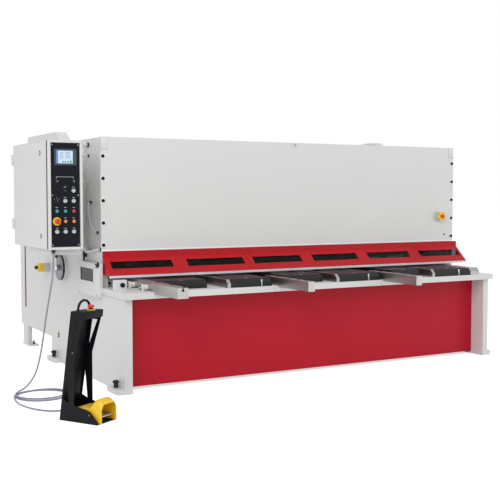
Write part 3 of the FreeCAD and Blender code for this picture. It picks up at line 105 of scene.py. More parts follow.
add(tree, "ShaderNodeOutputMaterial", Surface=both.outputs[0])
floor_mesh.materials.append(paper)


def lamp(name, place, aim, size, power):
    """Soft square lamp that faces a point."""
    data = bpy.data.lights.new(name, "AREA")
    data.size = size
    data.energy = power
    item = bpy.data.objects.new(name, data)
    item.location = place
    way = [aim[i] - place[i] for i in range(3)]
    item.rotation_euler = (math.atan2(math.hypot(way[0], way[1]), -way[2]), 0,
                           math.atan2(-way[0], way[1]))
    bpy.context.collection.objects.link(item)


lamp("key_softbox", (-6.5, -6.5, 5.5), (-0.3, 0, 0.8), 5.0, 335)
lamp("fill_softbox", (6.5, -7.0, 4.0), (0, 0, 0.8), 6.0, 120)
lamp("rear_softbox", (3.0, 8.0, 6.0), (0, 0, 0.8), 6.0, 200)

# Camera at the operator's left, at chest height, with a long lens. It is solved from the
# straight edges of the machine in the photograph.
lens_mm, sensor_mm = 66.53, 36.0
looks_down, looks_right = math.radians(3.32), math.radians(29.16)
camera_data = bpy.data.cameras.new("photo_camera")
camera_data.sensor_width = sensor_mm
camera_data.lens = lens_mm
camera = bpy.data.objects.new("photo_camera", camera_data)
camera.location = (-3.7878, -7.0207, 1.3969)
camera.rotation_euler = (math.radians(90) - looks_down, 0, -looks_right)
bpy.context.collection.objects.link(camera)
bpy.context.scene.camera = camera
bpy.context.scene.view_settings.view_transform = "Standard"


# Pedal cable: grey PVC sheath, 12 mm, hanging from the gland under the cabinet. It falls,
# lies in two loose turns on the floor and goes on into the rear of the pedal stand.
# Places are measured on the floor from midway between the fronts of the side frames, and
# machine takes them to the frame of the record.
machine = Matrix.Translation((0.283091, -0.9740622, 0))


def finish(name, colour, rough, metal=0.0, drift=0.05, grain=3.33, relief=0.06, coat=0.0,
           stretch=(1, 1, 1), blotch=333, depth=0.0004, shine=0.5, clear=0.0, ior=1.5):
    """Material with slow colour drift, uneven gloss and a fine texture in relief.

    grain and blotch are the sizes of the fine and the slow pattern in millimetres, and
    stretch narrows the grain along an axis. depth is the relief's height in metres.
    """
    item = bpy.data.materials.new(name)
    item.use_nodes = True
    tree = item.node_tree
    tree.nodes.clear()
    where = add(tree, "ShaderNodeTexCoord").outputs["Object"]
    drawn = add(tree, "ShaderNodeMapping", Vector=where, Scale=stretch).outputs[0]
    slow = add(tree, "ShaderNodeTexNoise", Vector=where, Scale=1000 / blotch, Detail=4.0)
    fine = add(tree, "ShaderNodeTexNoise", Vector=drawn, Scale=1000 / grain, Detail=6.0)
    base = linear(colour)
    dark = [c * (1 - drift) for c in base[:3]] + [1.0]
    pale = [min(1.0, c * (1 + drift)) for c in base[:3]] + [1.0]
    tone = add(tree, "ShaderNodeMix", {"data_type": "RGBA"}, i0=slow.outputs[0], i6=dark,
               i7=pale)
    gloss = add(tree, "ShaderNodeMapRange", Value=fine.outputs[0], i3=rough * 0.85,
                i4=min(1.0, rough * 1.2))
    bumps = add(tree, "ShaderNodeBump", Strength=relief, Distance=depth,
                Height=fine.outputs[0])
    shader = add(tree, "ShaderNodeBsdfPrincipled", Base_Color=tone.outputs[2],
                 Roughness=gloss.outputs[0], Metallic=metal, Coat_Weight=coat,
                 Coat_Roughness=0.08, Normal=bumps.outputs[0],
                 Specular_IOR_Level=shine, Transmission_Weight=clear, IOR=ior)
    add(tree, "ShaderNodeOutputMaterial", Surface=shader.outputs[0])
    return item


def tube(name, points, radius, material, steps):
    """Lay a round tube along points, in one smooth open spline."""
    data = bpy.data.curves.new(name, "CURVE")
    data.dimensions = "3D"
    data.bevel_depth = radius
    data.bevel_resolution = 5
    data.use_fill_caps = True
    line = data.splines.new("NURBS")
    line.points.add(len(points) - 1)
    for knot, place in zip(line.points, points):
        knot.co = (*place, 1.0)
    line.order_u = 3
    line.use_endpoint_u = True
    line.resolution_u = steps
    data.materials.append(material)
    item = bpy.data.objects.new(name, data)
    bpy.context.collection.objects.link(item)
    return item


# PVC: a smooth bluish grey with a waxy sheen and soft clouds of tone 330 mm wide.
cable_sheath = finish("grey_pvc_cable_sheath", "#8f90a0", 0.38, drift=0.08, grain=2.0)
drop_route = [(-2.088, 0.385, 0.991), (-2.090, 0.388, 0.850), (-2.116, 0.394, 0.700),
              (-2.144, 0.399, 0.540), (-2.166, 0.405, 0.375), (-2.190, 0.412, 0.235),
              (-2.222, 0.421, 0.118), (-2.286, 0.423, 0.038)]
run_route = [(-2.400, 0.320, 0.008), (-2.432, 0.195, 0.007), (-2.440, 0.040, 0.007),
             (-2.404, -0.120, 0.007), (-2.335, -0.240, 0.008), (-2.262, -0.302, 0.014),
             (-2.22936, -0.34292, 0.030), (-2.20428, -0.38384, 0.030)]
# The coil has twelve points a turn. Its first turn rests on its second.
cable_radius = 0.006
coil_middle = (-2.227, 0.254)
coil_radius, upper_level, lower_level = 0.1775, 0.0205, 0.0070
coil_turns = []
for step in range(25):
    angle = math.radians(140 + 30 * step)
    if step < 9:
        radius, height = 0.183 - 0.0004 * step, upper_level
    elif step < 12:
        radius, height = coil_radius, upper_level - 0.0043 * (step - 8)
    else:
        radius, height = coil_radius + 0.0011 * (step - 12), lower_level
    coil_turns.append((coil_middle[0] + radius * math.cos(angle),
                       coil_middle[1] + radius * math.sin(angle), height))
cable_points = [machine @ Vector(place) for place in drop_route + coil_turns + run_route]
cable = tube("pedal_cable", cable_points, cable_radius, cable_sheath, 8)
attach(cable, "machine")
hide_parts("cable_drop", "cable_coil", "cable_run")


# Painted steelwork: frames, table, hood and cabinet in light grey powder coat, with the
# skirt, finger guard and slide in red. Both are sprayed and baked on steel plate.
def paint_nodes(material, *names):
    """Give CAD nodes their finish."""
    for name in names:
        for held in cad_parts[name].material_slots:
            held.material = material


# Powder coat: a soft, even sheen with an orange peel of about 1 mm.
grey_coat = finish("light_grey_powder_coat", "#dcdcd9", 0.42, drift=0.02, grain=1.11,
                   relief=0.10, depth=0.0002)
# Satin enamel on the skirt and gloss enamel on the guard: flat, deep reds. Their mirror is
# kept weak, because the white surround would bleach them.
red_coat = finish("red_satin_paint", "#b9182a", 0.36, drift=0.05, grain=1.43, relief=0.06,
                  depth=0.0002, shine=0.18)
deep_red_coat = finish("deep_red_gloss_paint", "#b90c19", 0.28, drift=0.05, grain=1.43,
                       relief=0.06, depth=0.0002, shine=0.2)
paint_nodes(grey_coat, "side_frame_left", "side_frame_right", "rear_guard_left",
            "rear_guard_right", "table_bed", "bed_ribs", "front_hood", "swing_beam",
            "hold_down_beam", "squaring_bracket", "cabinet_shell", "cabinet_door",
            "cabinet_bracket", "side_cover", "top_tie", "tank_shelf", "back_gauge",
            "gap_dial")
paint_nodes(red_coat, "front_skirt", "sheet_slide")
# Primer inside the sight slots: dull brown red, with stains about 70 mm wide.
red_oxide = finish("worn_red_oxide_primer", "#8a3226", 0.55, drift=0.35, grain=3.33,
                   relief=0.2, blotch=71, shine=0.3)
paint_nodes(red_oxide, "slot_liners")
paint_nodes(deep_red_coat, "finger_guard_left", "finger_guard_right")


# Bare and blackened metal: ground steel arms and end pieces with grinding lines, tool steel
# blades, blackened table plates and pads with a dull oxide skin.
# Ground steel gives long, soft streaks of light. Its lines are 17 mm long and 1.2 mm apart
# here, because real ones of 0.1 mm don't show.
ground_steel = finish("milled_steel", "#a9a7a6", 0.30, metal=1.0, drift=0.08, grain=16.7,
                      relief=0.12, stretch=(1, 14, 14), depth=0.0003)
arm_steel = finish("ground_steel_arm", "#b9b5b3", 0.34, metal=1.0, drift=0.10, grain=16.7,
                   relief=0.12, stretch=(14, 1, 14), depth=0.0003)
# Tool steel: colder and more mirror-like, with lines 11 mm long and 1.1 mm apart.
blade_steel = finish("hardened_tool_steel", "#8b8d90", 0.22, metal=1.0, drift=0.08, grain=11.1,
                     relief=0.08, stretch=(1, 10, 10), depth=0.0002)
# Blackened plate: a dark skin with clouds 125 mm wide and faint rolling marks 2 mm apart.
black_oxide = finish("blackened_steel_plate", "#232326", 0.42, metal=0.6, drift=0.18,
                     grain=12.5, relief=0.15, stretch=(1, 6, 6), blotch=125, depth=0.0003)
# Screws: black oxide shows a dark satin edge, and zinc plate a bright, cold one.
black_screw = finish("black_oxide_screw", "#19191b", 0.35, metal=0.7, grain=1.67)
bright_screw = finish("zinc_plated_screw", "#c4c6c8", 0.28, metal=1.0, grain=2.0)
paint_nodes(ground_steel, "plate_ends", "foot_pedal")
paint_nodes(arm_steel, "squaring_arm", "support_arms")
paint_nodes(blade_steel, "lower_blade", "upper_blade")
paint_nodes(black_oxide, "table_plates_long", "table_plates_short", "hold_down_pads",
            "levelling_bolts")


# Moulded and dark parts: smoked panes, black stand, yellow pedal guard, pale hoses and
# strips, switchgear in dark housings, tank in enamel.
# Smoked polycarbonate: clear but dark, so the inside shows dimly. Its index is set low,
# because at 1.58 it would mirror the white surround.
smoked_pane = finish("smoked_polycarbonate", "#55585f", 0.05, drift=0.25, grain=50,
                     relief=0.01, blotch=111, depth=0.0001, clear=1.0, ior=1.15)
# The pane of the side cover stands before a dark box, so it is drawn as an opaque sheet.
cover_pane = finish("smoked_cover_pane", "#29292b", 0.14, drift=0.15, grain=50,
                    relief=0.02, blotch=111, depth=0.0001, shine=0.08)
# Black powder coat on the stand: dull and deep, with a 1 mm peel that breaks up the light.
black_coat = finish("black_powder_coat", "#101116", 0.40, drift=0.12, grain=1.11,
                    relief=0.14, depth=0.0002, shine=0.15)
# Mouldings: ABS in black and yellow with a finely eroded skin of 1 to 1.5 mm, pale
# polyamide with a waxy sheen, and dark grey switchgear.
black_plastic = finish("black_moulded_plastic", "#141416", 0.40, drift=0.1, grain=1.11)
yellow_plastic = finish("yellow_moulded_plastic", "#f6c51c", 0.34, drift=0.04, grain=1.43,
                        relief=0.08, coat=0.15, depth=0.0002)
pale_plastic = finish("pale_polyamide_hose", "#d6dae0", 0.45, drift=0.05, grain=2.5)
gear_plastic = finish("switchgear_housing", "#4a4d52", 0.45, drift=0.15, grain=3.33)
paint_nodes(smoked_pane, "guard_windows")
paint_nodes(cover_pane, "side_cover_pane")
paint_nodes(black_coat, "stand_tower")
paint_nodes(black_plastic, "cable_gland")
paint_nodes(pale_plastic, "guard_strip", "hood_hoses")
paint_nodes(gear_plastic, "cabinet_gear")
# Tank enamel: smooth, a shade darker and glossier than the coat of the frame.
tank_coat = finish("grey_tank_enamel", "#b9bcc0", 0.35, drift=0.04, grain=2.0)
paint_nodes(tank_coat, "oil_tank", "beam_cylinders")


# Hood fasteners: five black socket screws on pale washers at each end, two corner plates,
# the half round plug in the notch of the top edge, and a white strip under the sheet that is a
# painted highlight.
forward, rearward, upward = (0, -1, 0), (0, 1, 0), (0, 0, 1)
leftward, rightward = (-1, 0, 0), (1, 0, 0)
weld_within = 1e-6
crease_from = math.radians(32)


def turned(form, profile, place, axis, steps=20, slot=0, angle=2 * math.pi):
    """Spin a profile of (radius, height) points about an axis that stands on a place."""
    old = set(form.verts)
    corners = [form.verts.new((radius, 0, height)) for radius, height in profile]
    edges = [form.edges.new(pair) for pair in zip(corners, corners[1:])]
    bmesh.ops.spin(form, geom=corners + edges, cent=(0, 0, 0), axis=upward,
                   angle=angle, steps=steps, use_merge=angle == 2 * math.pi)
    fresh = [corner for corner in form.verts if corner not in old]
    bmesh.ops.remove_doubles(form, verts=fresh, dist=weld_within)
    fresh = [corner for corner in form.verts if corner not in old]
    faces = list({face for corner in fresh for face in corner.link_faces})
    bmesh.ops.recalc_face_normals(form, faces=faces)
    stand = Vector(axis).to_track_quat("Z", "Y").to_matrix().to_4x4()
    bmesh.ops.transform(form, matrix=Matrix.Translation(place) @ stand, verts=fresh)
    for face in faces:
        face.material_index = slot
    return faces


def slab(form, low, high, soft=0.0, slot=0, segments=3, turn=None):
    """Box between two corners with rounded edges, turned about its middle if asked."""
    old = set(form.verts)
    made = bmesh.ops.create_cube(form, size=1.0)["verts"]
    sizes = [high[k] - low[k] for k in range(3)]
    bmesh.ops.scale(form, vec=sizes, verts=made)
    if soft:
        edges = list({edge for corner in made for edge in corner.link_edges})
        bmesh.ops.bevel(form, geom=edges, offset=soft, segments=segments, profile=0.5,
                        affect="EDGES", material=-1)
    fresh = [corner for corner in form.verts if corner not in old]
    faces = list({face for corner in fresh for face in corner.link_faces})
    stand = Matrix.Translation([(high[k] + low[k]) / 2 for k in range(3)])
    if turn:
        stand = stand @ Matrix.Rotation(turn[0], 4, turn[1])
    bmesh.ops.transform(form, matrix=stand, verts=fresh)
    for face in faces:
        face.material_index = slot
    return faces


def piece(name, build, materials, body="machine", stand=machine):
    """Model a piece in a mesh of its own and let it ride on a body."""
    form = bmesh.new()
    build(form)
    form.transform(stand)
    for face in form.faces:
        face.smooth = True
    for edge in form.edges:
        if len(edge.link_faces) == 2 and edge.calc_face_angle(0.0) > crease_from:
            edge.smooth = False
    mesh = bpy.data.meshes.new(name)
    form.to_mesh(mesh)
    form.free()
    for material in materials:
        mesh.materials.append(material)
    item = bpy.data.objects.new(name, mesh)
    bpy.context.collection.objects.link(item)
    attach(item, body)
    return item


hood_face, hood_end, hood_top = 0.470, 1.678, 1.8375
screw_levels = (1.6955, 1.5305, 1.3655, 1.2005, 1.0355)
screw_columns = (-1.682, 1.678)
notch_middle = -0.010


def hood_screws(form):
    for across in screw_columns:
        for level in screw_levels:
            place = (across, hood_face, level)
            turned(form, [(0.0, 0.0006), (0.0195, 0.0006), (0.0205, 0.0)], place, forward,
                   28, 1)
            turned(form, [(0.0, 0.0045), (0.0042, 0.0045), (0.005, 0.0092), (0.0115, 0.0092),
                          (0.013, 0.0078), (0.013, 0.0)], place, forward, 24)


# Washer paint: a cleaner white than the sheet, so it reads as a thin ring round the screw.
washer_and_highlight_white = finish("white_paint_washers_and_edge_highlight", "#f2f2f0", 0.4, drift=0.02, grain=2.0)
piece("hood_screws", hood_screws, [black_screw, washer_and_highlight_white])


def hood_plates(form):
    for side in (-1, 1):
        across = sorted((side * 1.6965, side * 1.6410))
        slab(form, (across[0], hood_face - 0.0030, 1.7460), (across[1], hood_face, 1.8365),
             0.0012, 0, 2)
        # A grey rim 1.2 mm wide round the plate: painted shade at its edge.
        slab(form, (across[0] - 0.0012, hood_face - 0.0008, 1.7440),
             (across[1] + 0.0012, hood_face, 1.8372), 0.0002, 1, 1)


# Painted shade: a matt grey line round the plate and the plug, for the shade at their edges on
# the sheet.
edge_shade_grey = finish("grey_painted_edge_shade", "#a5a5a1", 0.5, drift=0.1, grain=2.0)
piece("hood_corner_plates", hood_plates, [grey_coat, edge_shade_grey])


def notch_plug(form):
    turned(form, [(0.030, 0.0), (0.030, 0.002), (0.029, 0.003), (0.0, 0.003)],
           (notch_middle, hood_face, 1.836), forward, 36)
    # A grey ring round the plug: painted shade at its edge.
    turned(form, [(0.0330, 0.0), (0.0330, 0.0008), (0.0300, 0.0008)],
           (notch_middle, hood_face, 1.836), forward, 36, 2)
    bmesh.ops.bisect_plane(form, geom=form.verts[:] + form.edges[:] + form.faces[:],
                           plane_co=(0, 0, hood_top), plane_no=upward, clear_outer=True)
    bmesh.ops.holes_fill(form, edges=form.edges[:])
    turned(form, [(0.0, 0.005), (0.005, 0.005), (0.006, 0.004), (0.006, 0.0)],
           (notch_middle, hood_face, 1.820), forward, 18, 1)
    turned(form, [(0.0, 0.004), (0.0065, 0.004), (0.008, 0.003), (0.008, 0.0)],
           (1.598, hood_face, 1.049), forward, 20, 1)


piece("notch_plug", notch_plug, [grey_coat, black_screw, edge_shade_grey])


# A thin white strip along the hood's lower edge, in the washers' white: a painted highlight,
# not a hem.
def hood_edge_highlight(form):
    slab(form, (-1.6970, 0.4680, 0.9885), (1.6970, 0.4705, 0.9985), 0.0008, 0, 2)


piece("hood_lower_edge_highlight", hood_edge_highlight, [washer_and_highlight_white])


# Finger guard details: a black star knob of moulded plastic holds it at its left end, and
# button screws hold its flange to the hood and each dark pane at its corners.
knob_middle, knob_level, knob_lobes, lobe_reach = -1.734, 0.889, 5, 0.0165


def star_knob(form):
    turned(form, [(0.0, 0.030), (0.010, 0.030), (0.0135, 0.027), (0.0145, 0.020),
                  (0.010, 0.012), (0.009, 0.0)], (knob_middle, hood_face, knob_level),
           forward, 30)
    for turn in range(knob_lobes):
        angle = 2 * math.pi * turn / knob_lobes + 0.3
        turned(form, [(0.0, 0.029), (0.0055, 0.028), (0.0075, 0.024), (0.0075, 0.017),
                      (0.005, 0.014), (0.0, 0.013)],
               (knob_middle + lobe_reach * math.cos(angle), hood_face,
                knob_level + lobe_reach * math.sin(angle)), forward, 16)


piece("guard_star_knob", star_knob, [black_plastic])
guard_lip = (0.331, 0.815)
slope = Vector((0, 0.138, 0.126)).normalized()
off_pane = Vector((0, -0.126, 0.138)).normalized()
# Left end of the first pane, pitch, length and count of the panes in each guard length
pane_rows = ((-1.645, 0.622, 0.498, 2), (-0.436, 0.566, 0.452, 4))
flange_screws = (-1.655, -1.080, -0.520, -0.450, 0.120, 0.690, 1.260, 1.710)


def guard_screws(form):
    for start, pitch, length, count in pane_rows:
        for number in range(count):
            for part in (0.03, 0.97):
                for along in (0.061, 0.151):
                    across = start + pitch * number + length * part
                    place = Vector((across, *guard_lip)) + slope * along
                    turned(form, [(0.0, 0.0022), (0.0025, 0.0022), (0.0042, 0.0)], place,
                           off_pane, 12)
    for across in flange_screws:
        turned(form, [(0.0, 0.0035), (0.0035, 0.0035), (0.0055, 0.0022), (0.0055, 0.0)],
               (across, hood_face, 0.9635), forward, 16)


piece("guard_screws", guard_screws, [black_screw])


# Table fixings: two bright countersunk screws down the middle of each black plate, a zinc
# pin at the front edge of each long one, and the blocks that close the blade's ends.
table_top = 0.782
# Left and right edge of each plate, and its front screw: long plates first, then short ones
plate_spans = ((-0.880, -0.530, 0.045), (0.091, 0.485, 0.045), (1.064, 1.460, 0.045),
               (-1.410, -1.028, 0.110), (-0.353, 0.0, 0.110), (0.696, 0.982, 0.110))


def table_screws(form):
    for left, right, front in plate_spans:
        for along in (front, 0.480):
            turned(form, [(0.0, 0.0004), (0.004, 0.0004), (0.0045, 0.0012), (0.0095, 0.0012),
                          (0.0105, 0.0)], ((left + right) / 2, along, table_top), upward)


piece("table_plate_screws", table_screws, [bright_screw])


def edge_pins(form):
    for middle in (-0.615, 0.378, 1.330):
        turned(form, [(0.0, -0.0260), (0.0060, -0.0260), (0.0080, -0.0235), (0.0080, 0.0235),
                      (0.0060, 0.0260), (0.0, 0.0260)], (middle, -0.031, 0.749), upward, 22)


piece("plate_edge_pins", edge_pins, [bright_screw])


def blade_ends(form):
    for side in (-1, 1):
        across = sorted((side * 1.660, side * 1.567))
        slab(form, (across[0], 0.545, 0.721), (across[1], 0.598, 0.806), 0.003, 0)
        for level in (0.742, 0.782):
            turned(form, [(0.0, 0.004), (0.004, 0.004), (0.0045, 0.007), (0.0085, 0.007),
                          (0.0095, 0.006), (0.0095, 0.0)],
                   (side * 1.612, 0.545, level), forward, 18, 1)


piece("blade_end_blocks", blade_ends, [grey_coat, black_screw])


# Arm fixings: black countersunk screws along the squaring arm and the two support arms, and
# a bright plate let into the front end of each support arm.
arm_screw = [(0.0, 0.0006), (0.005, 0.0006), (0.0055, 0.0018), (0.010, 0.0018), (0.011, 0.0)]


def arm_details(form):
    for along in (-0.405, -0.20, 0.05, 0.30):
        turned(form, arm_screw, (-1.430, along, table_top), upward, 18)
    for across in (-0.448, 0.542):
        for along in (-0.385, -0.285, -0.150, 0.020, 0.130):
            turned(form, arm_screw, (across, along, table_top), upward, 18)
        slab(form, (across - 0.020, -0.452, table_top - 0.0002),
             (across + 0.020, -0.428, table_top + 0.0008), 0.0004, 1)


piece("arm_screws", arm_details, [black_screw, bright_screw])


# Squaring bracket hardware: two black cap screws hold each lug, and one large screw goes
# back through the block at the post.
lug_face, block_screw = -1.545, (-1.644, 0.190, 0.759)


def bracket_screws(form):
    for along in (0.085, 0.330):
        for level in (0.734, 0.758):
            turned(form, [(0.0, 0.004), (0.003, 0.004), (0.0035, 0.007), (0.0058, 0.007),
                          (0.0065, 0.0062), (0.0065, 0.0)], (lug_face, along, level),
                   leftward, 18)
    turned(form, [(0.0, 0.009), (0.006, 0.009), (0.007, 0.015), (0.0155, 0.015),
                  (0.017, 0.0135), (0.017, 0.0)], block_screw, forward, 26)


piece("bracket_screws", bracket_screws, [black_screw])


# Feet: a bright washer lies under each levelling bolt and a turned collar closes its top.
# Expansion anchors stand in the rear feet with washer, nut and stud end.
lug_columns, lug_rows = (-1.7315, 1.7315), (0.106, 1.566)
rear_foot, anchor_rows, foot_plate = 1.650, (2.443, 2.638), 0.016


def levelling_nuts(form):
    for across in lug_columns:
        for along in lug_rows:
            turned(form, [(0.0, 0.092), (0.011, 0.092), (0.0125, 0.090), (0.0125, 0.0885)],
                   (across, along, 0.0), upward, 22)
            turned(form, [(0.0245, 0.0360), (0.0245, 0.0400), (0.0150, 0.0400)],
                   (across, along, 0.0), upward, 26, 1)


piece("levelling_nuts", levelling_nuts, [black_screw, bright_screw])


def floor_anchors(form):
    for side in (-1, 1):
        for along in anchor_rows:
            place = (side * rear_foot, along, foot_plate)
            turned(form, [(0.016, 0.0), (0.016, 0.0025), (0.0, 0.0025)], place, upward, 26, 1)
            turned(form, [(0.0, 0.0155), (0.0105, 0.0155), (0.012, 0.0140), (0.012, 0.0025)],
                   place, upward, 6)
            turned(form, [(0.0, 0.034), (0.0055, 0.034), (0.0065, 0.033), (0.0065, 0.0155)],
                   place, upward, 18)


piece("floor_anchors", floor_anchors, [black_screw, bright_screw])


# Control cabinet: folded sheet with a bezel round the panel, a side door on two hinges, and
# two quarter turn locks with bright barrels in black surrounds.
door_face, lock_row, lock_levels = -2.130, 0.552, (1.109, 1.710)
bezel_sides, bezel_ends = (-2.1265, -1.8835), (1.0205, 1.7925)
bezel_front, bezel_back, half_rim = 0.3462, 0.3478, 0.0018


def cabinet_locks(form):
    for level in lock_levels:
        place = (door_face, lock_row, level)
        turned(form, [(0.0175, 0.0), (0.0175, 0.0022), (0.016, 0.0035), (0.0115, 0.0035),
                      (0.0115, 0.0)], place, leftward, 30)
        turned(form, [(0.0110, 0.0), (0.0110, 0.0050), (0.0100, 0.0060), (0.0045, 0.0060),
                      (0.0045, 0.0030), (0.0, 0.0030)], place, leftward, 28, 1)


piece("cabinet_locks", cabinet_locks, [black_plastic, bright_screw], "cabinet_door")


def cabinet_trim(form):
    for across in bezel_sides:
        slab(form, (across - half_rim, bezel_front, 1.020),
             (across + half_rim, bezel_back, 1.793), 0.0007)
    for level in bezel_ends:
        slab(form, (bezel_sides[0], bezel_front, level - half_rim),
             (bezel_sides[1], bezel_back, level + half_rim), 0.0007)


piece("cabinet_bezel_edge", cabinet_trim, [grey_coat])
# Anodised aluminium: slate black, brushed crosswise in strokes 1.7 mm long that only dull it.
anodised_panel = finish("slate_anodised_panel", "#14171e", 0.38, drift=0.06,
                        grain=1.67, relief=0.08, stretch=(1, 1, 12), depth=0.0002,
                        shine=0.12)
paint_nodes(anodised_panel, "control_panel")


# Panel controls: round metal bezels with coloured caps in three columns, two key switches
# above, a rotary selector, and a mushroom stop head on a yellow ring.
panel_face = 0.353
columns = (-2.070, -2.008, -1.946)
rows = (1.438, 1.365, 1.292, 1.219, 1.146)
key_row = 1.505
# Lens caps and stop heads: clear, saturated colours under a glossy skin. The rings are
# satin, the print is matt, and the chrome mirrors the room.
green_cap = finish("green_lens_cap", "#14a39a", 0.25, drift=0.04, grain=3.33, coat=0.5)
red_cap = finish("red_stop_head", "#dd1c1f", 0.28, drift=0.04, grain=2.5, coat=0.4)
orange_cap = finish("orange_lens_cap", "#f2901a", 0.25, drift=0.04, grain=3.33, coat=0.5)
white_print = finish("white_panel_print", "#e6e8ea", 0.5, drift=0.02, grain=2.0)
yellow_ring = finish("yellow_stop_ring", "#f0c21a", 0.35, drift=0.03, grain=2.0)
chrome = finish("polished_chrome", "#d4d6d9", 0.10, metal=1.0, drift=0.03, grain=5.0,
                relief=0.02)
button_bezel = [(0.0152, 0.0), (0.0152, 0.0035), (0.0140, 0.0050), (0.0122, 0.0050),
                (0.0118, 0.0030)]
button_cap = [(0.0117, 0.0020), (0.0117, 0.0068), (0.0106, 0.0082), (0.0060, 0.0088),
              (0.0, 0.0090)]
# Numbers of the materials in the piece, and the buttons row by row
green, red, orange, plain, ring, black, none = 0, 1, 2, 3, 4, 5, None
layout = ((none, none, plain), (none, plain, plain), (green, green, red),
          (none, orange, orange), (plain, plain, plain))


def push_buttons(form):
    for level, row in zip(rows, layout):
        for across, colour in zip(columns, row):
            if colour is not None:
                place = (across, panel_face, level)
                rim = ring if colour == plain else black
                turned(form, button_bezel, place, forward, 26, rim)
                turned(form, button_cap, place, forward, 26, colour)
                if colour == plain:
                    turned(form, [(0.0030, 0.0088), (0.0026, 0.0096), (0.0, 0.0096)], place,
                           forward, 14, black)


buttons = piece("panel_push_buttons", push_buttons,
                [green_cap, red_cap, orange_cap, bright_screw, chrome, black_plastic])
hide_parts("panel_buttons")
selector_turn = (math.radians(-30), "Y")


def switches(form):
    for across in (columns[0], columns[2]):
        place = (across, panel_face, key_row)
        turned(form, button_bezel, place, forward, 26)
        turned(form, [(0.0117, 0.0020), (0.0117, 0.0100), (0.0105, 0.0112), (0.0, 0.0112)],
               place, forward, 26)
        slab(form, (across - 0.0013, 0.3335, key_row - 0.0065),
             (across + 0.0013, 0.3420, key_row + 0.0065), 0.0005, 1)
    place = (columns[0], panel_face, rows[1])
    turned(form, button_bezel, place, forward, 26)
    turned(form, [(0.0117, 0.0020), (0.0117, 0.0070), (0.0, 0.0070)], place, forward, 26)
    slab(form, (columns[0] - 0.0035, 0.3335, 1.3535), (columns[0] + 0.0035, 0.3470, 1.3765),
         0.0012, 0, 3, selector_turn)
    slab(form, (columns[0] - 0.0007, 0.3330, 1.3680), (columns[0] + 0.0007, 0.3340, 1.3750),
         0.0002, 2, 1, selector_turn)
    slab(form, (columns[1] - 0.0090, 0.3515, 1.4300), (columns[1] + 0.0090, 0.3535, 1.4460),
         0.0008, 0)


turning = piece("panel_key_switches", switches, [black_plastic, chrome, white_print])
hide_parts("panel_switches")


def stop_head(form):
    place = (columns[0], panel_face, rows[3])
    turned(form, [(0.030, 0.0), (0.030, 0.0015), (0.029, 0.0022), (0.0135, 0.0022)], place,
           forward, 36, 1)
    turned(form, [(0.0130, 0.0), (0.0130, 0.0140), (0.0110, 0.0160)], place, forward,
           28, 2)
    turned(form, [(0.0110, 0.0150), (0.0185, 0.0170), (0.0200, 0.0215), (0.0190, 0.0280),
                  (0.0140, 0.0325), (0.0, 0.0338)], place, forward, 32)


stopper = piece("panel_stop_head", stop_head, [red_cap, yellow_ring, black_plastic])
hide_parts("panel_stop_button")


# Printed marks: short white bars for the words, a bracket over the key switches, dots round
# the selector, and the panel's six bright screws.
def panel_print(form):
    low, high = panel_face - 0.0006, panel_face - 0.0001
    slab(form, (columns[0], low, 1.5348), (columns[2], high, 1.5366), 0.0001, 0, 1)
    for across in (columns[0], columns[2]):
        slab(form, (across - 0.0009, low, 1.5250), (across + 0.0009, high, 1.5366), 0.0001,
             0, 1)
    for row in rows:
        for across in columns[0 if row in (rows[2], rows[4]) else 1:]:
            for shift in (-0.0065, 0.0, 0.0065):
                slab(form, (across + shift - 0.0022, low, row + 0.0235),
                     (across + shift + 0.0022, high, row + 0.0265), 0.0001, 0, 1)
    for turn in (-50, 0, 50):
        angle = math.radians(90 + turn)
        spot = (columns[0] + 0.0205 * math.cos(angle), rows[1] + 0.0205 * math.sin(angle))
        slab(form, (spot[0] - 0.0016, low, spot[1] - 0.0016),
             (spot[0] + 0.0016, high, spot[1] + 0.0016), 0.0001, 0, 1)
    for across in (-2.100, -1.910):
        for level in (1.050, 1.405, 1.763):
            turned(form, [(0.0, 0.0014), (0.0022, 0.0014), (0.0040, 0.0)],
                   (across, panel_face, level), forward, 14, 1)


piece("panel_marks", panel_print, [white_print, bright_screw])


# Screen: a moulded blue-grey frame with rounded corners round a bright display, with a blue
# field at its left, rows of grey marks, and one round green key at the lower corner.
# Frame in matt ABS. Glass: pale blue and mirror-like, with the marks and keys under it as
# flat colours.
screen_frame = finish("blue_grey_screen_frame", "#354252", 0.40, drift=0.05, grain=2.0)
display_glass = finish("pale_display_glass", "#cfe4f6", 0.12, drift=0.08, grain=33.3,
                       relief=0.01, coat=0.6, blotch=83)
display_ink = finish("dark_display_marks", "#7c93b4", 0.2, drift=0.1, grain=16.7)
display_blue = finish("blue_display_field", "#4f8fd6", 0.2, drift=0.1, grain=16.7)
green_key = finish("green_display_key", "#55b848", 0.2, drift=0.1, grain=16.7)
ink_front, ink_back, ink_edge = 0.3446, 0.3451, 0.0001


def screen_parts(form):
    slab(form, (-2.086, 0.3462, 1.617), (-1.922, 0.3530, 1.734), 0.0030, 0, 4)
    slab(form, (-2.071, 0.3450, 1.631), (-1.951, 0.3470, 1.721), 0.0008, 1, 2)
    slab(form, (-2.0705, ink_front, 1.6315), (-2.0590, ink_back, 1.7205), ink_edge, 4, 1)
    for level in (1.708, 1.698, 1.688, 1.678, 1.668):
        for left, right in ((-2.048, -2.022), (-2.005, -1.968)):
            slab(form, (left, ink_front, level), (right, ink_back, level + 0.0030), ink_edge,
                 2, 1)
    for across in (-2.030, -2.012, -1.994):
        slab(form, (across, ink_front, 1.637), (across + 0.012, ink_back, 1.647), ink_edge,
             4, 1)
    turned(form, [(0.0090, 0.0), (0.0085, 0.0010), (0.0, 0.0012)], (-1.967, 0.3452, 1.643),
           forward, 24, 3)


screen = piece("panel_display", screen_parts,
               [screen_frame, display_glass, display_ink, green_key, display_blue])
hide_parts("panel_screen")


# Blade gap dial: a turned black rim round a grey face, with index holes and white scale
# lines round its lower edge, and a chromed lever with a black ball on its middle.
dial_place = Vector((-1.740, 1.370, 0.811))
first_mark = math.radians(-100)
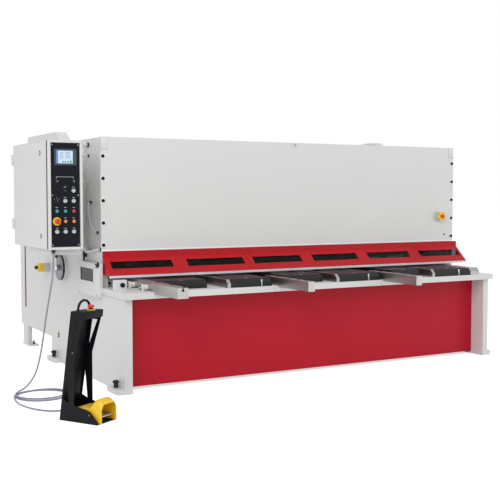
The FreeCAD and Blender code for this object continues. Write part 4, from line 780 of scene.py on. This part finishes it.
# Dial face: etched aluminium, a soft grey shimmer with a grain of 5 mm.
dial_face = finish("grey_dial_face", "#7d7c84", 0.38, metal=0.6, drift=0.06, grain=5.0,
                   relief=0.08)


def move(form, faces, matrix):
    """Take the corners of some faces to another place."""
    corners = list({corner for face in faces for corner in face.verts})
    bmesh.ops.transform(form, matrix=matrix, verts=corners)


def dial_parts(form):
    turned(form, [(0.1045, -0.0180), (0.1062, -0.0170), (0.1062, -0.0010), (0.1045, 0.0006),
                  (0.1010, 0.0006), (0.1000, 0.0)], dial_place, leftward, 72)
    turned(form, [(0.1000, 0.0002), (0.060, 0.0004), (0.024, 0.0004)], dial_place,
           leftward, 72, 1)
    turned(form, [(0.0240, 0.0002), (0.0240, 0.0120), (0.0225, 0.0150), (0.0180, 0.0156),
                  (0.0, 0.0156)], dial_place, leftward, 40, 1)
    for step in range(15):
        angle = first_mark + math.radians(13.5 * step)
        way = Vector((0, -math.sin(angle), -math.cos(angle)))
        turned(form, [(0.0, 0.0010), (0.0030, 0.0010), (0.0034, 0.0004)],
               dial_place + way * 0.086, leftward, 14)
    for step in range(29):
        angle = first_mark + math.radians(6.75 * step)
        made = slab(form, (-0.0009, -0.0005, -0.0790), (-0.0003, 0.0005, -0.0730), 0.0001,
                    2, 1)
        move(form, made, Matrix.Translation(dial_place) @ Matrix.Rotation(-angle, 4, "X"))


piece("gap_dial_plate", dial_parts, [black_plastic, dial_face, white_print])


def lever_parts(form):
    place = Vector((-1.7560, 1.370, 0.811))
    turned(form, [(0.0, 0.0145), (0.0100, 0.0145), (0.0105, 0.0130), (0.0130, 0.0130),
                  (0.0215, 0.0115), (0.0220, 0.0100), (0.0220, 0.0020), (0.0210, 0.0),
                  (0.0, 0.0)], place, leftward, 40)
    turned(form, [(0.0, 0.0), (0.0062, 0.0), (0.0060, 0.0280), (0.0045, 0.0640),
                  (0.0045, 0.0730)], place + Vector((-0.0070, 0, 0.0150)), upward, 24)
    turned(form, [(0.0, -0.0140), (0.0070, -0.0130), (0.0120, -0.0070), (0.0140, 0.0),
                  (0.0120, 0.0070), (0.0070, 0.0125), (0.0, 0.0140)],
           place + Vector((-0.0045, 0, 0.0920)), upward, 28, 1)


lever = piece("gap_lever_chromed", lever_parts, [chrome, black_plastic], "gap_lever")
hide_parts("gap_lever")


# Side cover: a flat box of painted sheet on the left frame, with a dark pane in its face.
# Button screws hold the box at its corners, and smaller ones hold the pane.
cover_face = -1.743


def cover_screws(form):
    for along in (0.452, 0.838):
        for level in (0.662, 0.888):
            turned(form, [(0.0, 0.0026), (0.0030, 0.0026), (0.0046, 0.0)],
                   (cover_face, along, level), leftward, 16)
    for along in (0.522, 0.833):
        for level in (0.750, 0.862):
            turned(form, [(0.0, 0.0020), (0.0020, 0.0020), (0.0034, 0.0)],
                   (cover_face, along, level), leftward, 14)


piece("side_cover_screws", cover_screws, [black_screw])


# Stop stations: a grey moulded base with a yellow lid on four screws, and a stop head on a
# black neck. One is on the left rear guard, one on the front of the hood.
# Grey ABS base: matt, with a faint skin of 1.7 mm.
grey_base = finish("grey_moulded_base", "#c2c5c8", 0.42, drift=0.05, grain=1.67)
lid_screw = [(0.0, 0.0016), (0.0020, 0.0016), (0.0030, 0.0)]
left_lid, hood_lid = -1.796, 0.420


def station_left(form):
    slab(form, (-1.750, 1.754, 0.749), (-1.700, 1.826, 0.821), 0.0045, 0, 4)
    slab(form, (left_lid, 1.7545, 0.7495), (-1.750, 1.8255, 0.8205), 0.0060, 1, 4)
    for along in (1.7625, 1.8175):
        for level in (0.7575, 0.8125):
            turned(form, lid_screw, (left_lid, along, level), leftward, 12, 2)
    place = (left_lid, 1.790, 0.785)
    turned(form, [(0.0120, 0.0), (0.0120, 0.0100)], place, leftward, 28, 2)
    turned(form, [(0.0120, 0.0090), (0.0170, 0.0105), (0.0182, 0.0160), (0.0170, 0.0225),
                  (0.0110, 0.0265), (0.0, 0.0275)], place, leftward, 32, 3)


left_station = piece("guard_stop_station", station_left,
                     [grey_base, yellow_plastic, black_plastic, black_plastic])
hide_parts("stop_station_left")


def station_hood(form):
    slab(form, (1.494, 0.438, 1.183), (1.566, hood_face, 1.255), 0.0045, 0, 4)
    slab(form, (1.4945, hood_lid, 1.1835), (1.5655, 0.438, 1.2545), 0.0050, 1, 4)
    for across in (1.5025, 1.5575):
        for level in (1.1915, 1.2465):
            turned(form, lid_screw, (across, hood_lid, level), forward, 12, 2)
    place = (1.530, hood_lid, 1.219)
    turned(form, [(0.0120, 0.0), (0.0120, 0.0080)], place, forward, 28, 2)
    turned(form, [(0.0120, 0.0070), (0.0165, 0.0085), (0.0178, 0.0130), (0.0168, 0.0185),
                  (0.0110, 0.0228), (0.0, 0.0238)], place, forward, 32, 3)


hood_station = piece("hood_stop_station", station_hood,
                     [grey_base, yellow_plastic, black_plastic, red_cap])
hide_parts("stop_station_hood")


# Pedal stand: folded black sheet with a hoop of round bar, a stop head on its top, and the
# yellow moulded guard over a ribbed bright pedal. It stands apart, turned to the operator.
apart = machine @ Matrix.Translation((-2.174, -0.730, 0)) @ Matrix.Rotation(
    math.radians(31.5), 4, "Z")
stand_top, stand_width = 0.690, 0.184
bar_radius, hoop_radius, hoop_sides = 0.008, 0.058, 14
hoop_middle = (0.116, 0.186, stand_top)


def hoop_bar(form):
    round_bar = [2 * math.pi * side / hoop_sides for side in range(hoop_sides + 1)]
    ring = turned(form, [(hoop_radius + bar_radius * math.cos(angle),
                          bar_radius * math.sin(angle)) for angle in round_bar],
                  (0, 0, 0), upward, 30, 0, math.pi)
    move(form, ring, Matrix.Translation(hoop_middle) @ Matrix.Rotation(
        math.radians(-90), 4, "X"))
    for across in (hoop_middle[0] - hoop_radius, hoop_middle[0] + hoop_radius):
        turned(form, [(0.0125, 0.0), (0.0125, 0.0020), (0.0080, 0.0034)],
               (across, *hoop_middle[1:]), upward, 22)


hoop = piece("stand_hoop", hoop_bar, [black_coat], "machine", apart)
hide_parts("stand_handle")


def stand_stop(form):
    place = (0.117, 0.133, stand_top)
    turned(form, [(0.030, 0.0), (0.030, 0.0030), (0.0285, 0.0042), (0.0130, 0.0042)], place,
           upward, 36, 1)
    turned(form, [(0.0130, 0.0030), (0.0130, 0.0150)], place, upward, 28, 2)
    turned(form, [(0.0120, 0.0140), (0.0205, 0.0165), (0.0220, 0.0220), (0.0205, 0.0290),
                  (0.0140, 0.0330), (0.0, 0.0340)], place, upward, 36)


stand_head = piece("stand_stop_head", stand_stop, [red_cap, yellow_ring, black_plastic],
                   "machine", apart)
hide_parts("stand_stop_button")


def pedal_ribs(form):
    for step in range(7):
        along = 0.0025 + 0.0095 * step
        slab(form, (0.034, along, 0.0476), (0.150, along + 0.0040, 0.0490), 0.0005, 0, 2)


piece("pedal_ribs", pedal_ribs, [ground_steel], "foot_pedal", apart)


def tower_screws(form):
    for along, level in ((0.186, 0.432), (0.060, 0.055)):
        turned(form, [(0.0, 0.0020), (0.0020, 0.0020), (0.0032, 0.0010), (0.0034, 0.0)],
               (0.0, along, level), leftward, 18)


piece("tower_screws", tower_screws, [arm_steel], "machine", apart)


def stand_lip(form):
    lean = math.atan2(0.020, 0.150)
    lip = slab(form, (0.0, -0.0020, -0.0470), (stand_width, 0.0020, 0.0), 0.0010, 0, 2)
    move(form, lip, Matrix.Translation((0.0, 0.0895, stand_top)) @ Matrix.Rotation(
        lean, 4, "X"))


piece("stand_front_lip", stand_lip, [black_coat], "machine", apart)


# Rest of the sheet work: the hood's end walls run back to the cross tie, and a black strip in
# the gap in front of the cabinet's door is painted shade.
def hood_walls(form):
    for side in (-1, 1):
        across = sorted((side * hood_end, side * 1.674))
        slab(form, (across[0], 0.855, 1.264), (across[1], 1.158, 1.838), 0.0010, 0, 2)
        reach = sorted((side * hood_end, side * 1.640))
        slab(form, (reach[0], 1.154, 1.402), (reach[1], 1.1595, 1.838), 0.0010, 0, 2)


piece("hood_end_walls", hood_walls, [grey_coat])
# Painted shade: a black, matt strip without a highlight that stands for the shadow in the gap.
gap_shade_black = finish("black_painted_gap_shade", "#1b1b1d", 0.6, drift=0.1, grain=2.0)


# The strip is painted shadow in the gap before the door, not a seal.
def door_gap_shade(form):
    slab(form, (-2.1306, 0.3730, 1.020), (-2.1290, 0.3960, 1.793), 0.0004, 0, 2)


piece("cabinet_door_gap_shade", door_gap_shade, [gap_shade_black])


# Hood hose and conduit: a pale polyamide hose between two fittings, and a thicker conduit
# from the cabinet to the hood. Round unions on hexagons close the other ports.
hose_radius, conduit_radius = 0.0070, 0.0105
hose_route = [(-hood_end, 0.735, 1.352), (-1.7010, 0.735, 1.352), (-1.7045, 0.733, 1.320),
              (-1.7045, 0.715, 1.235), (-1.7045, 0.660, 1.160), (-1.7010, 0.588, 1.124),
              (-hood_end, 0.588, 1.124)]
conduit_route = [(-1.880, 0.845, 1.040), (-1.722, 0.845, 1.040), (-1.724, 0.770, 1.000),
                 (-1.724, 0.700, 0.976), (-1.722, 0.600, 0.985), (-1.722, 0.520, 1.001),
                 (-hood_end, 0.520, 1.001)]
hose_points = [machine @ Vector(place) for place in hose_route]
conduit_points = [machine @ Vector(place) for place in conduit_route]
hose = tube("hood_pale_hose", hose_points, hose_radius, pale_plastic, 10)
conduit = tube("hood_pale_conduit", conduit_points, conduit_radius, pale_plastic, 10)
for item in (hose, conduit):
    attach(item, "machine")
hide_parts("hood_hoses")
fitting_middle = (0.796, 0.944)


def unions(form):
    for along, level, radius in ((0.790, 1.792, 0.020), (0.782, 1.708, 0.013)):
        turned(form, [(radius * 0.7, 0.0), (radius * 0.7, 0.0300), (radius, 0.0310),
                      (radius, 0.0450), (radius * 0.8, 0.0480), (0.0, 0.0490)],
               (-hood_end, along, level), leftward, 24)
        turned(form, [(radius * 0.95, 0.0), (radius * 0.95, 0.0120), (radius * 0.7, 0.0140)],
               (-hood_end, along, level), leftward, 6, 1)
    for along, level, radius in ((0.873, 1.139, 0.014), (0.688, 1.166, 0.009)):
        turned(form, [(radius, 0.0), (radius, 0.010), (radius * 0.8, 0.012),
                      (radius * 0.8, 0.019), (radius * 0.65, 0.023), (0.0, 0.024)],
               (-hood_end, along, level), leftward, 24)
    for along, level, wide in ((0.735, 1.352, 0.012), (0.588, 1.124, 0.013),
                               (0.520, 1.001, 0.017)):
        turned(form, [(wide, 0.0), (wide, 0.008), (wide * 0.9, 0.010), (wide * 0.9, 0.016),
                      (wide * 0.6, 0.018)], (-hood_end, along, level), leftward, 6, 1)
    turned(form, [(0.015, 0.0), (0.015, 0.012), (0.012, 0.014), (0.0115, 0.030),
                  (0.0, 0.032)], (-1.700, *fitting_middle), leftward, 24, 1)
    turned(form, [(0.0, -0.040), (0.0085, -0.038), (0.0085, 0.030), (0.0, 0.032)],
           (-1.722, *fitting_middle), upward, 20, 1)


piece("hood_unions", unions, [pale_plastic, black_plastic])


# Side frame screws: two black cap screws in a column low on the left frame's plate, and a
# yellow one over them.
frame_face = 1.700


def frame_dots(form):
    for level in (0.262, 0.238, 0.216):
        turned(form, [(0.0, 0.003), (0.004, 0.003), (0.005, 0.006), (0.009, 0.006),
                      (0.010, 0.004), (0.010, 0.0)], (-frame_face, 1.518, level), leftward,
               20, 0 if level < 0.26 else 1)


piece("frame_side_screws", frame_dots, [black_screw, yellow_ring])


# Pedal guard: one yellow moulding with a wide mouth, a dome that falls away to the rear, and
# a flat tongue that is screwed to the stand behind it. Its wall is about 4 mm.
guard_sill, guard_wall = 0.005, 0.0042
# Height of the dome at its mouth and at six places behind it
guard_heights = (0.124, 0.126, 0.144, 0.153, 0.151, 0.124, 0.094)
guard_places = (-0.0225, -0.0205, -0.006, 0.014, 0.036, 0.064, 0.090)
# Half of the mouth's arch, as places across and shares of the height
half_arch = ((0.0175, 0.0), (0.0175, 0.30), (0.0175, 0.64), (0.0185, 0.77), (0.0290, 0.905),
             (0.0410, 0.985), (0.0540, 1.0))


def guard_dome(form):
    arch = half_arch + ((stand_width / 2, 1.0),) + tuple(
        (stand_width - across, part) for across, part in reversed(half_arch))
    tall_mouth = guard_heights[0] - guard_sill
    corners = [form.verts.new((across, guard_places[0], guard_sill + tall_mouth * part))
               for across, part in arch]
    edges = [form.edges.new(pair) for pair in zip(corners, corners[1:])]
    for place, tall, before, low in zip(guard_places[1:], guard_heights[1:], guard_places,
                                        guard_heights):
        made = bmesh.ops.extrude_edge_only(form, edges=edges)["geom"]
        corners = [item for item in made if isinstance(item, bmesh.types.BMVert)]
        edges = [item for item in made if isinstance(item, bmesh.types.BMEdge)]
        edges = [edge for edge in edges if set(edge.verts) <= set(corners)]
        lift = (tall - guard_sill) / (low - guard_sill)
        sill_level = Matrix.Translation((0, 0, -guard_sill))
        bmesh.ops.scale(form, vec=(1, 1, lift), space=sill_level, verts=corners)
        bmesh.ops.translate(form, vec=(0, place - before, 0), verts=corners)
    bmesh.ops.contextual_create(form, geom=edges)
    bmesh.ops.recalc_face_normals(form, faces=form.faces)


guard_moulding = piece("pedal_guard_dome", guard_dome, [yellow_plastic], "machine", apart)
# The shell gets its wall inwards, and its corners are rounded.
thick = guard_moulding.modifiers.new("wall", "SOLIDIFY")
thick.thickness = guard_wall
thick.offset = -1
smooth = guard_moulding.modifiers.new("round", "SUBSURF")
smooth.levels = 2
smooth.render_levels = 2
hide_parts("pedal_guard")
tongue_top = 0.0898


def guard_tongue(form):
    slab(form, (0.0175, 0.076, 0.0845), (0.1665, 0.178, tongue_top), 0.0024, 0, 4)
    for across in (0.034, 0.150):
        turned(form, [(0.0, 0.0018), (0.0035, 0.0018), (0.0055, 0.0)],
               (across, 0.160, tongue_top), upward, 16, 1)
    for side in (0.0175, 0.1625):
        slab(form, (side, 0.062, 0.008), (side + 0.0040, 0.100, 0.088), 0.0012, 0, 2)


piece("pedal_guard_tongue", guard_tongue, [yellow_plastic, black_screw], "machine", apart)
axle_radius, axle_length = 0.0048, 0.140


def pedal_axle(form):
    turned(form, [(0.0, 0.0), (axle_radius, 0.0), (axle_radius, axle_length),
                  (0.0, axle_length)], (0.022, 0.075, 0.045), rightward)


piece("pedal_axle", pedal_axle, [ground_steel], "machine", apart)


# Hydraulic unit at the rear: enamelled tank with filler cap, level glass and drain plug, a
# finned motor with its terminal box, and hard chromed rods under the two beam cylinders.
motor_middle, fin_pitch = (1.700, 1.812), 0.0152


def tank_parts(form):
    turned(form, [(0.0415, 0.0), (0.0415, 0.010), (0.0390, 0.013), (0.0360, 0.014),
                  (0.0345, 0.026), (0.0300, 0.030), (0.0, 0.031)], (0.300, 1.700, 1.740),
           upward, 32, 1)
    slab(form, (0.446, 1.9600, 1.600), (0.474, 1.9680, 1.710), 0.003, 1, 3)
    slab(form, (0.453, 1.9680, 1.618), (0.467, 1.9710, 1.692), 0.0012, 2, 2)
    turned(form, [(0.018, 0.0), (0.018, 0.004), (0.012, 0.006), (0.012, 0.016), (0.0, 0.017)],
           (-0.540, 1.960, 1.590), rearward, 6, 1)
    for step in range(13):
        turned(form, [(0.0710, 0.0), (0.0732, 0.0008), (0.0732, 0.0034), (0.0710, 0.0042)],
               (-0.436 + fin_pitch * step, *motor_middle), rightward, 40)
    turned(form, [(0.0710, 0.0), (0.0732, 0.0020), (0.0732, 0.0340), (0.0690, 0.0420),
                  (0.0400, 0.0450), (0.0, 0.0450)], (-0.440, *motor_middle), leftward, 40, 1)
    slab(form, (-0.360, 1.760, 1.800), (-0.270, 1.800, 1.860), 0.004, 0, 3)
    for side in (-1, 1):
        for depth in (1.500, 1.940):
            slab(form, (side * 0.590 - 0.022, depth - 0.010, 1.560),
                 (side * 0.590 + 0.022, depth + 0.010, 1.572), 0.002, 0, 2)


piece("tank_fittings", tank_parts, [tank_coat, black_plastic, display_glass])
rod_column, rod_row = 1.550, 0.950


def chromed_rods(form):
    for side in (-1, 1):
        turned(form, [(0.0223, 0.0), (0.0223, 0.0720)], (side * rod_column, rod_row, 1.248),
               upward, 32)
        turned(form, [(0.0455, 0.0), (0.0490, 0.0020), (0.0490, 0.0200), (0.0455, 0.0220)],
               (side * rod_column, rod_row, 1.322), upward, 36, 1)


piece("cylinder_rods", chromed_rods, [chrome, black_plastic])


# Pivot covers: on the right frame a turned steel cap closes the beam's pivot bore where the
# left frame carries the gap dial. Six cap screws hold it to the plate.
pivot_row, pivot_level, screw_circle = 1.370, 0.811, 0.080


def pivot_cap(form):
    turned(form, [(0.1000, 0.0), (0.1000, 0.0090), (0.0975, 0.0115), (0.0620, 0.0115),
                  (0.0600, 0.0180), (0.0560, 0.0200), (0.0, 0.0200)],
           (frame_face, pivot_row, pivot_level), rightward, 64)
    for step in range(6):
        angle = math.radians(30 + 60 * step)
        turned(form, [(0.0, 0.0045), (0.0035, 0.0045), (0.0042, 0.0080), (0.0078, 0.0080),
                      (0.0088, 0.0070), (0.0088, 0.0)],
               (1.7115, pivot_row + screw_circle * math.cos(angle),
                pivot_level + screw_circle * math.sin(angle)), rightward, 20, 1)


piece("right_pivot_cap", pivot_cap, [grey_coat, black_screw])
